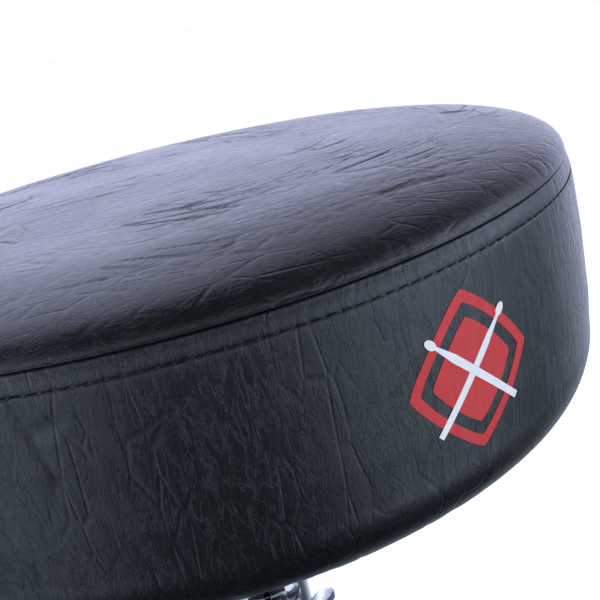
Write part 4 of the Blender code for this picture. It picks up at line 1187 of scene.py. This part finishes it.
class THRONE_OT_underside(bpy.types.Operator):
    """Model the dust cloth, its staples and the seat bolts' hexagon heads"""

    bl_idname = "throne.underside"
    bl_label = "Underside"

    def execute(self, context):
        self.make_cover()
        self.make_staples()
        for number in range(1, 5):
            self.make_seat_bolt(number)
        return {"FINISHED"}

    def make_cover(self):
        high = COVER_HIGH.z
        top = spaced([(COVER_HOLE_R, high), (COVER_R, high)], 0.0030)
        bottom = [(r, high - COVER_T) for r, _ in reversed(top)]
        cover = spun("dust_cloth", top + bottom, 240)
        places = vertex_array(cover)
        ring = places - np.array([0.0, AXIS_Y, 0.0])
        radius = np.hypot(ring[:, 0], ring[:, 1])
        waves = noise_field(ring, (30.0, 30.0, 1.0), (1.0, 1.0, 1.0))
        waves += 0.5 * noise_field(ring, (90.0, 90.0, 1.0), (5.0, 1.0, 1.0))
        held = step_up(radius, COVER_HOLE_R, COVER_HOLE_R + 0.01) * step_up(COVER_R - radius, 0.0, 0.012)
        places[:, 2] -= np.clip(0.5 + 0.5 * waves, 0.0, 1.0) * COVER_SAG * held
        move_vertices(cover, places)
        smooth_edges(cover, 60.0)
        dress(cover, kept_material("dust_cloth", cambric_material), "seat", "black_cloth", "seat_dust_cover")

    def make_staples(self):
        clear_selection()
        bpy.ops.mesh.primitive_cylinder_add(vertices=8, radius=STAPLE_R, depth=STAPLE_LENGTH,
                                            rotation=(0.0, radians(90.0), 0.0),
                                            location=(0.0, COVER_R - STAPLE_INSET, COVER_LOW.z - 0.0003))
        staple = named("cover_staples")
        settle(staple)
        apply_modifier(staple, "BEVEL", width=0.0002, segments=2, limit_method="ANGLE")
        ring_of_copies(staple, STAPLES)
        staple.location = (0.0, AXIS_Y, 0.0)
        settle(staple)
        smooth_edges(staple)
        dress(staple, zinc(), "seat", "zinc")

    def make_seat_bolt(self, number):
        low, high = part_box(f"seat_bolt_{number}")
        middle = 0.5 * (low + high)
        depth = HEX_HEIGHT - HEX_FLANGE
        top = low.z + HEX_HEIGHT
        clear_selection()
        bpy.ops.mesh.primitive_cylinder_add(vertices=6, radius=HEX_R, depth=depth,
                                            location=(middle.x, middle.y, low.z + 0.5 * depth))
        bolt = named(f"hex_bolt_{number}")
        apply_modifier(bolt, "BEVEL", width=0.0005, segments=2)
        parts = [bolt]
        for radius, low_z, high_z, sides in ((HEX_FLANGE_R, low.z + depth, top, 32),
                                             (HEX_SHANK_R, top, high.z, 20)):
            clear_selection()
            bpy.ops.mesh.primitive_cylinder_add(vertices=sides, radius=radius, depth=high_z - low_z,
                                                location=(middle.x, middle.y, 0.5 * (low_z + high_z)))
            parts.append(bpy.context.object)
        join_pieces(parts)
        settle(bolt)
        smooth_edges(bolt)
        dress(bolt, zinc(), "seat", "zinc", f"seat_bolt_{number}")


def join_pieces(parts):
    """Joins several objects into the first one."""
    clear_selection()
    for part in parts:
        part.select_set(True)
    bpy.context.view_layer.objects.active = parts[0]
    bpy.ops.object.join()


def fine_copy(node, name, edge, degrees=28.0):
    """A copy of a CAD node with its facets joined up and its edges rounded."""
    source = frame["nodes"][node]
    piece = source.copy()
    piece.data = source.data.copy()
    piece.parent = None
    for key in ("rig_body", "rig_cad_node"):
        del piece[key]
    bpy.context.scene.collection.objects.link(piece)
    piece.name = name
    piece.data.name = name
    pick(piece)
    bpy.ops.object.mode_set(mode="EDIT")
    bpy.ops.mesh.select_all(action="SELECT")
    bpy.ops.mesh.remove_doubles(threshold=0.00001)
    bpy.ops.mesh.dissolve_limited(angle_limit=radians(0.6))
    bpy.ops.mesh.select_all(action="SELECT")
    bpy.ops.mesh.vert_connect_concave()
    bpy.ops.object.mode_set(mode="OBJECT")
    apply_modifier(piece, "BEVEL", width=edge, segments=2, limit_method="ANGLE", angle_limit=radians(degrees),
                   use_clamp_overlap=True, miter_outer="MITER_ARC", harden_normals=False)
    smooth_edges(piece, degrees)
    return piece


class THRONE_OT_metalwork(bpy.types.Operator):
    """Round the edges of the cast and pressed metal pieces and turn the tubes afresh"""

    bl_idname = "throne.metalwork"
    bl_label = "Metalwork"

    def execute(self, context):
        edge = context.scene.throne_metal.edge_radius
        self.make_tube("chrome_post", POST_LOW, POST_HIGH, POST_BORE, "post", "seat_post")
        self.make_tube("chrome_tube", TUBE_LOW, TUBE_HIGH, TUBE_BORE, "root", "outer_tube")
        cast = {
            "height_collar": "root", "lower_hub": "root", "upper_hub": "hub_slider", "memory_lock": "post",
            "height_wing_nut": "height_wing", "bracket_wing_nut": "bracket_wing",
            "hub_wing_screw": "hub_wing",
        }
        for node, body in cast.items():
            dress(fine_copy(node, f"cast_{node}", edge), chrome(), body, "chrome", node)
        for number in (1, 2, 3):
            for side in ("left", "right"):
                leg = f"leg_{number}_strip_{side}"
                dress(fine_copy(leg, f"bar_{leg}", edge), chrome(), f"leg_{number}", "chrome", leg)
                brace = f"brace_{number}_{side}"
                dress(fine_copy(brace, f"bar_{brace}", edge), chrome(), f"brace_{number}", "chrome", brace)
        bracket = fine_copy("seat_bracket", "welded_bracket", edge)
        dress(bracket, black_oxide(), "seat", "zinc", "seat_bracket")
        self.make_weld()
        return {"FINISHED"}

    def make_tube(self, name, low, high, bore, body, node):
        radius = 0.5 * (high.x - low.x)
        lip = TUBE_LIP
        outline = [(bore, low.z + lip), (bore + lip, low.z), (radius - lip, low.z)]
        outline += arc((radius - lip, low.z + lip), lip, -60, 0, 2)
        outline += arc((radius - lip, high.z - lip), lip, 0, 60, 2)
        outline += [(radius - lip, high.z), (bore + lip, high.z), (bore, high.z - lip)]
        tube = spun(name, outline, 64)
        smooth_edges(tube)
        dress(tube, chrome(), body, "chrome", node)

    def make_weld(self):
        """The bead that joins the bracket's socket to its plate."""
        plate_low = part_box("seat_bracket")[1].z - PLATE_T
        clear_selection()
        bpy.ops.mesh.primitive_torus_add(major_radius=WELD_R, minor_radius=WELD_BEAD, major_segments=96,
                                         minor_segments=8, location=(0.0, AXIS_Y, plate_low - 0.0004))
        bead = named("bracket_weld")
        settle(bead)
        places, normals = vertex_array(bead), normal_array(bead)
        angle = np.arctan2(places[:, 1] - AXIS_Y, places[:, 0])
        ripple = WELD_RIPPLE * np.cos(angle * WELD_RIPPLES)
        ripple += 0.0003 * noise_field(places, (160.0, 160.0, 160.0), (0, 0, 0))
        move_vertices(bead, places + normals * ripple[:, None])
        smooth_edges(bead, 80.0)
        dress(bead, black_oxide(), "seat", "zinc")


class THRONE_OT_fittings(bpy.types.Operator):
    """Round the pins, bolts, washers, plugs and rubber feet"""

    bl_idname = "throne.fittings"
    bl_label = "Pins, bolts and feet"

    def execute(self, context):
        nylon = kept_material("moulded_nylon", nylon_material)
        rubber = kept_material("scuffed_rubber", rubber_material)
        bodies = frame["record"]["behaviour"]["bodies"]
        home = {node: body for body, nodes in bodies.items() for node in nodes}
        pins = [node for node in home if node.endswith("_pin")]
        screws = ["height_clamp_bolt", "height_washer", "bracket_clamp_bolt", "bracket_washer",
                  "lower_hub_screw", "memory_lock_screw"]
        for node in pins + screws:
            dress(fine_copy(node, f"plated_{node}", FINE_EDGE), zinc(), home[node], "zinc", node)
        for node in ("post_bushing", "post_end_plug"):
            dress(fine_copy(node, f"nylon_{node}", FINE_EDGE), nylon, home[node], "black_nylon", node)
        for node in ("tube_end_plug", "foot_1", "foot_2", "foot_3"):
            dress(fine_copy(node, f"rubber_{node}", RUBBER_EDGE), rubber, home[node], "black_rubber", node)
        return {"FINISHED"}


class THRONE_OT_hidden_parts(bpy.types.Operator):
    """Finish the board and the tee nuts inside the seat"""

    bl_idname = "throne.hidden_parts"
    bl_label = "Board and tee nuts"

    def execute(self, context):
        finishes = {"seat_board": plywood_material()}
        finishes.update({f"tee_nut_{number}": zinc() for number in range(1, 5)})
        for node, material in finishes.items():
            mesh = frame["nodes"][node].data
            mesh.materials.clear()
            mesh.materials.append(material)
        return {"FINISHED"}


# ---------------------------------------------------------------- stage
CAMERA_DISTANCE = 2.713 * SEAM_R     # from the middle of the seam circle
CAMERA_RAISE = radians(10.70)        # above the seam's plane
CAMERA_YAW = radians(6.22)
CAMERA_PITCH = radians(16.54)
CAMERA_ROLL = radians(-13.55)
CAMERA_LENS = 63.24
FLOOR_SIZE = 60.0
STUDIO_STRENGTH = 1.08
STUDIO_WALLS = (0.0, 1.90)          # behind the camera, and ahead of it
STUDIO_SIDES = 0.25
STUDIO_GLOW = 0.80
STUDIO_COOL = (0.84, 1.0, 1.25)
STUDIO_LILAC = (0.95, 1.0, 1.40)
LAMP_COLOR = (0.78, 0.86, 1.20)
STUDIO_BOXES = (((0.80, -0.52, -0.30), 1.2), ((-0.80, -0.52, -0.30), 0.8))


class THRONE_OT_stage(bpy.types.Operator):
    """Set up the pale floor, the soft studio light and the camera"""

    bl_idname = "throne.stage"
    bl_label = "Stage"

    def execute(self, context):
        stage = context.scene.throne_stage
        self.make_floor(stage)
        self.make_world(context.scene)
        self.make_lights(stage)
        self.make_camera(context.scene)
        context.scene.view_settings.view_transform = "Standard"
        return {"FINISHED"}

    def make_floor(self, stage):
        clear_selection()
        bpy.ops.mesh.primitive_plane_add(size=FLOOR_SIZE, location=(0.0, 0.0, -0.0002))
        floor = named("studio_floor")
        material, tree, shader, place = new_material("studio_paper", Roughness=0.8)
        cloud = noise(tree, place, 0.6, 2.0)
        color = tuple(stage.floor_color)
        feed(shader, "Base Color", colour_mix(tree, cloud, shade(color, 0.985), color))
        floor.data.materials.append(material)
        floor.visible_glossy = False

    def make_world(self, scene):
        """A white studio that lights all evenly; gloss sees its bright walls, side boxes and dark end."""
        world = bpy.data.worlds.new("studio")
        scene.world = world
        world.use_nodes = True
        tree = world.node_tree
        way = add_node(tree, "ShaderNodeTexCoord").outputs["Generated"]
        split = add_node(tree, "ShaderNodeSeparateXYZ", {0: way})
        ahead, up = split.outputs["Y"], split.outputs["Z"]
        across = math_node(tree, "ABSOLUTE", split.outputs["X"])
        level = smooth_range(tree, ahead, 0.25, 0.98, *STUDIO_WALLS)
        level = math_node(tree, "MULTIPLY", level, smooth_range(tree, up, 0.08, 0.36, 1.0, 0.45))
        level = math_node(tree, "ADD", level, smooth_range(tree, across, 0.55, 0.95, 0.0, STUDIO_SIDES))
        level = math_node(tree, "MULTIPLY", level, smooth_range(tree, up, 0.70, 1.0, 1.0, 0.45))
        level = math_node(tree, "MULTIPLY", level, smooth_range(tree, up, -0.70, -0.05, 0.45, 1.0))
        glow = smooth_range(tree, up, -0.23, -0.06, 0.0, STUDIO_GLOW)
        glow = math_node(tree, "MULTIPLY", glow, smooth_range(tree, up, 0.12, 0.34, 1.0, 0.0))
        glow = math_node(tree, "MULTIPLY", glow, smooth_range(tree, ahead, -0.3, 0.3, 1.0, 0.0))
        level = math_node(tree, "ADD", level, glow)
        for heading, strength in STUDIO_BOXES:
            toward = add_node(tree, "ShaderNodeVectorMath", {0: way, 1: heading}, operation="DOT_PRODUCT")
            lobe = smooth_range(tree, toward.outputs["Value"], 0.80, 0.97, 0.0, strength)
            level = math_node(tree, "ADD", level, lobe)
        upper = math_node(tree, "ADD", ahead, math_node(tree, "MULTIPLY", up, 1.6))
        tint = colour_mix(tree, smooth_range(tree, upper, -0.2, 0.5), STUDIO_COOL, STUDIO_LILAC)
        gloss = add_node(tree, "ShaderNodeVectorMath", {0: tint, "Scale": level}, operation="SCALE")
        shiny = add_node(tree, "ShaderNodeLightPath").outputs["Is Glossy Ray"]
        background = tree.nodes["Background"]
        tree.links.new(colour_mix(tree, shiny, (1.0, 1.0, 1.0), gloss.outputs[0]), background.inputs["Color"])
        background.inputs["Strength"].default_value = STUDIO_STRENGTH

    def make_lights(self, stage):
        lamps = (
            ("overhead_soft", (-0.5, 0.9, 1.9), (0.0, AXIS_Y, SEAM_Z), 1.6, stage.key_power),
            ("left_soft", (-2.0, -0.7, 0.9), (0.0, AXIS_Y, SEAM_Z), 1.0, stage.key_power * 0.7),
            ("right_soft", (2.1, -0.2, 0.8), (0.0, AXIS_Y, SEAM_Z), 1.0, stage.key_power * 0.7),
        )
        for name, place, target, size, power in lamps:
            clear_selection()
            bpy.ops.object.light_add(type="AREA", location=place)
            lamp = named(name)
            lamp.data.shape = "SQUARE"
            lamp.data.size = size
            lamp.data.energy = power
            lamp.data.color = LAMP_COLOR
            lamp.rotation_euler = (Vector(target) - Vector(place)).to_track_quat("-Z", "Y").to_euler()

    def make_camera(self, scene):
        """A close view along the seat from slightly above, tilted a little to one side."""
        back, above_seam = CAMERA_DISTANCE * cos(CAMERA_RAISE), CAMERA_DISTANCE * sin(CAMERA_RAISE)
        place = Vector((0.0, AXIS_Y - back, SEAM_Z + above_seam))
        level_share = cos(CAMERA_PITCH)
        ahead = Vector((sin(CAMERA_YAW) * level_share, cos(CAMERA_YAW) * level_share, -sin(CAMERA_PITCH)))
        level = ahead.cross(Vector((0.0, 0.0, 1.0))).normalized()
        upright = level.cross(ahead)
        across = cos(CAMERA_ROLL) * level + sin(CAMERA_ROLL) * upright
        above = cos(CAMERA_ROLL) * upright - sin(CAMERA_ROLL) * level
        clear_selection()
        bpy.ops.object.camera_add(location=place)
        camera = named("studio_camera")
        turn = Matrix((across, above, -ahead)).transposed()
        camera.rotation_euler = turn.to_euler()
        camera.data.lens = CAMERA_LENS
        camera.data.sensor_width = 36.0
        camera.data.clip_start = 0.01
        scene.camera = camera


class THRONE_PT_panel(bpy.types.Panel):
    """Lists the settings and the building steps"""

    bl_idname = "THRONE_PT_panel"
    bl_label = "Drum Throne"
    bl_space_type = "VIEW_3D"
    bl_region_type = "UI"
    bl_category = "Throne"

    def draw(self, context):
        scene = context.scene
        for settings in (scene.throne_seat, scene.throne_metal, scene.throne_stage):
            box = self.layout.box()
            for name in settings.__annotations__:
                box.prop(settings, name)
        for step in OPERATORS:
            self.layout.operator(step.bl_idname)


SETTINGS = (ThroneSeatSettings, ThroneMetalSettings, ThroneStageSettings)
OPERATORS = (
    THRONE_OT_stage, THRONE_OT_padding, THRONE_OT_top_panel, THRONE_OT_side_band, THRONE_OT_stitching,
    THRONE_OT_mark, THRONE_OT_underside, THRONE_OT_metalwork, THRONE_OT_fittings, THRONE_OT_hidden_parts,
)


def register():
    for item in (*SETTINGS, *OPERATORS, THRONE_PT_panel):
        bpy.utils.register_class(item)
    bpy.types.Scene.throne_seat = PointerProperty(type=ThroneSeatSettings)
    bpy.types.Scene.throne_metal = PointerProperty(type=ThroneMetalSettings)
    bpy.types.Scene.throne_stage = PointerProperty(type=ThroneStageSettings)


def unregister():
    del bpy.types.Scene.throne_seat
    del bpy.types.Scene.throne_metal
    del bpy.types.Scene.throne_stage
    for item in (THRONE_PT_panel, *reversed(OPERATORS), *reversed(SETTINGS)):
        bpy.utils.unregister_class(item)


def main():
    register()
    bpy.ops.throne.stage()
    bpy.ops.throne.padding()
    bpy.ops.throne.top_panel()
    bpy.ops.throne.side_band()
    bpy.ops.throne.stitching()
    bpy.ops.throne.mark()
    bpy.ops.throne.underside()
    bpy.ops.throne.metalwork()
    bpy.ops.throne.fittings()
    bpy.ops.throne.hidden_parts()


if __name__ == "__main__":
    main()
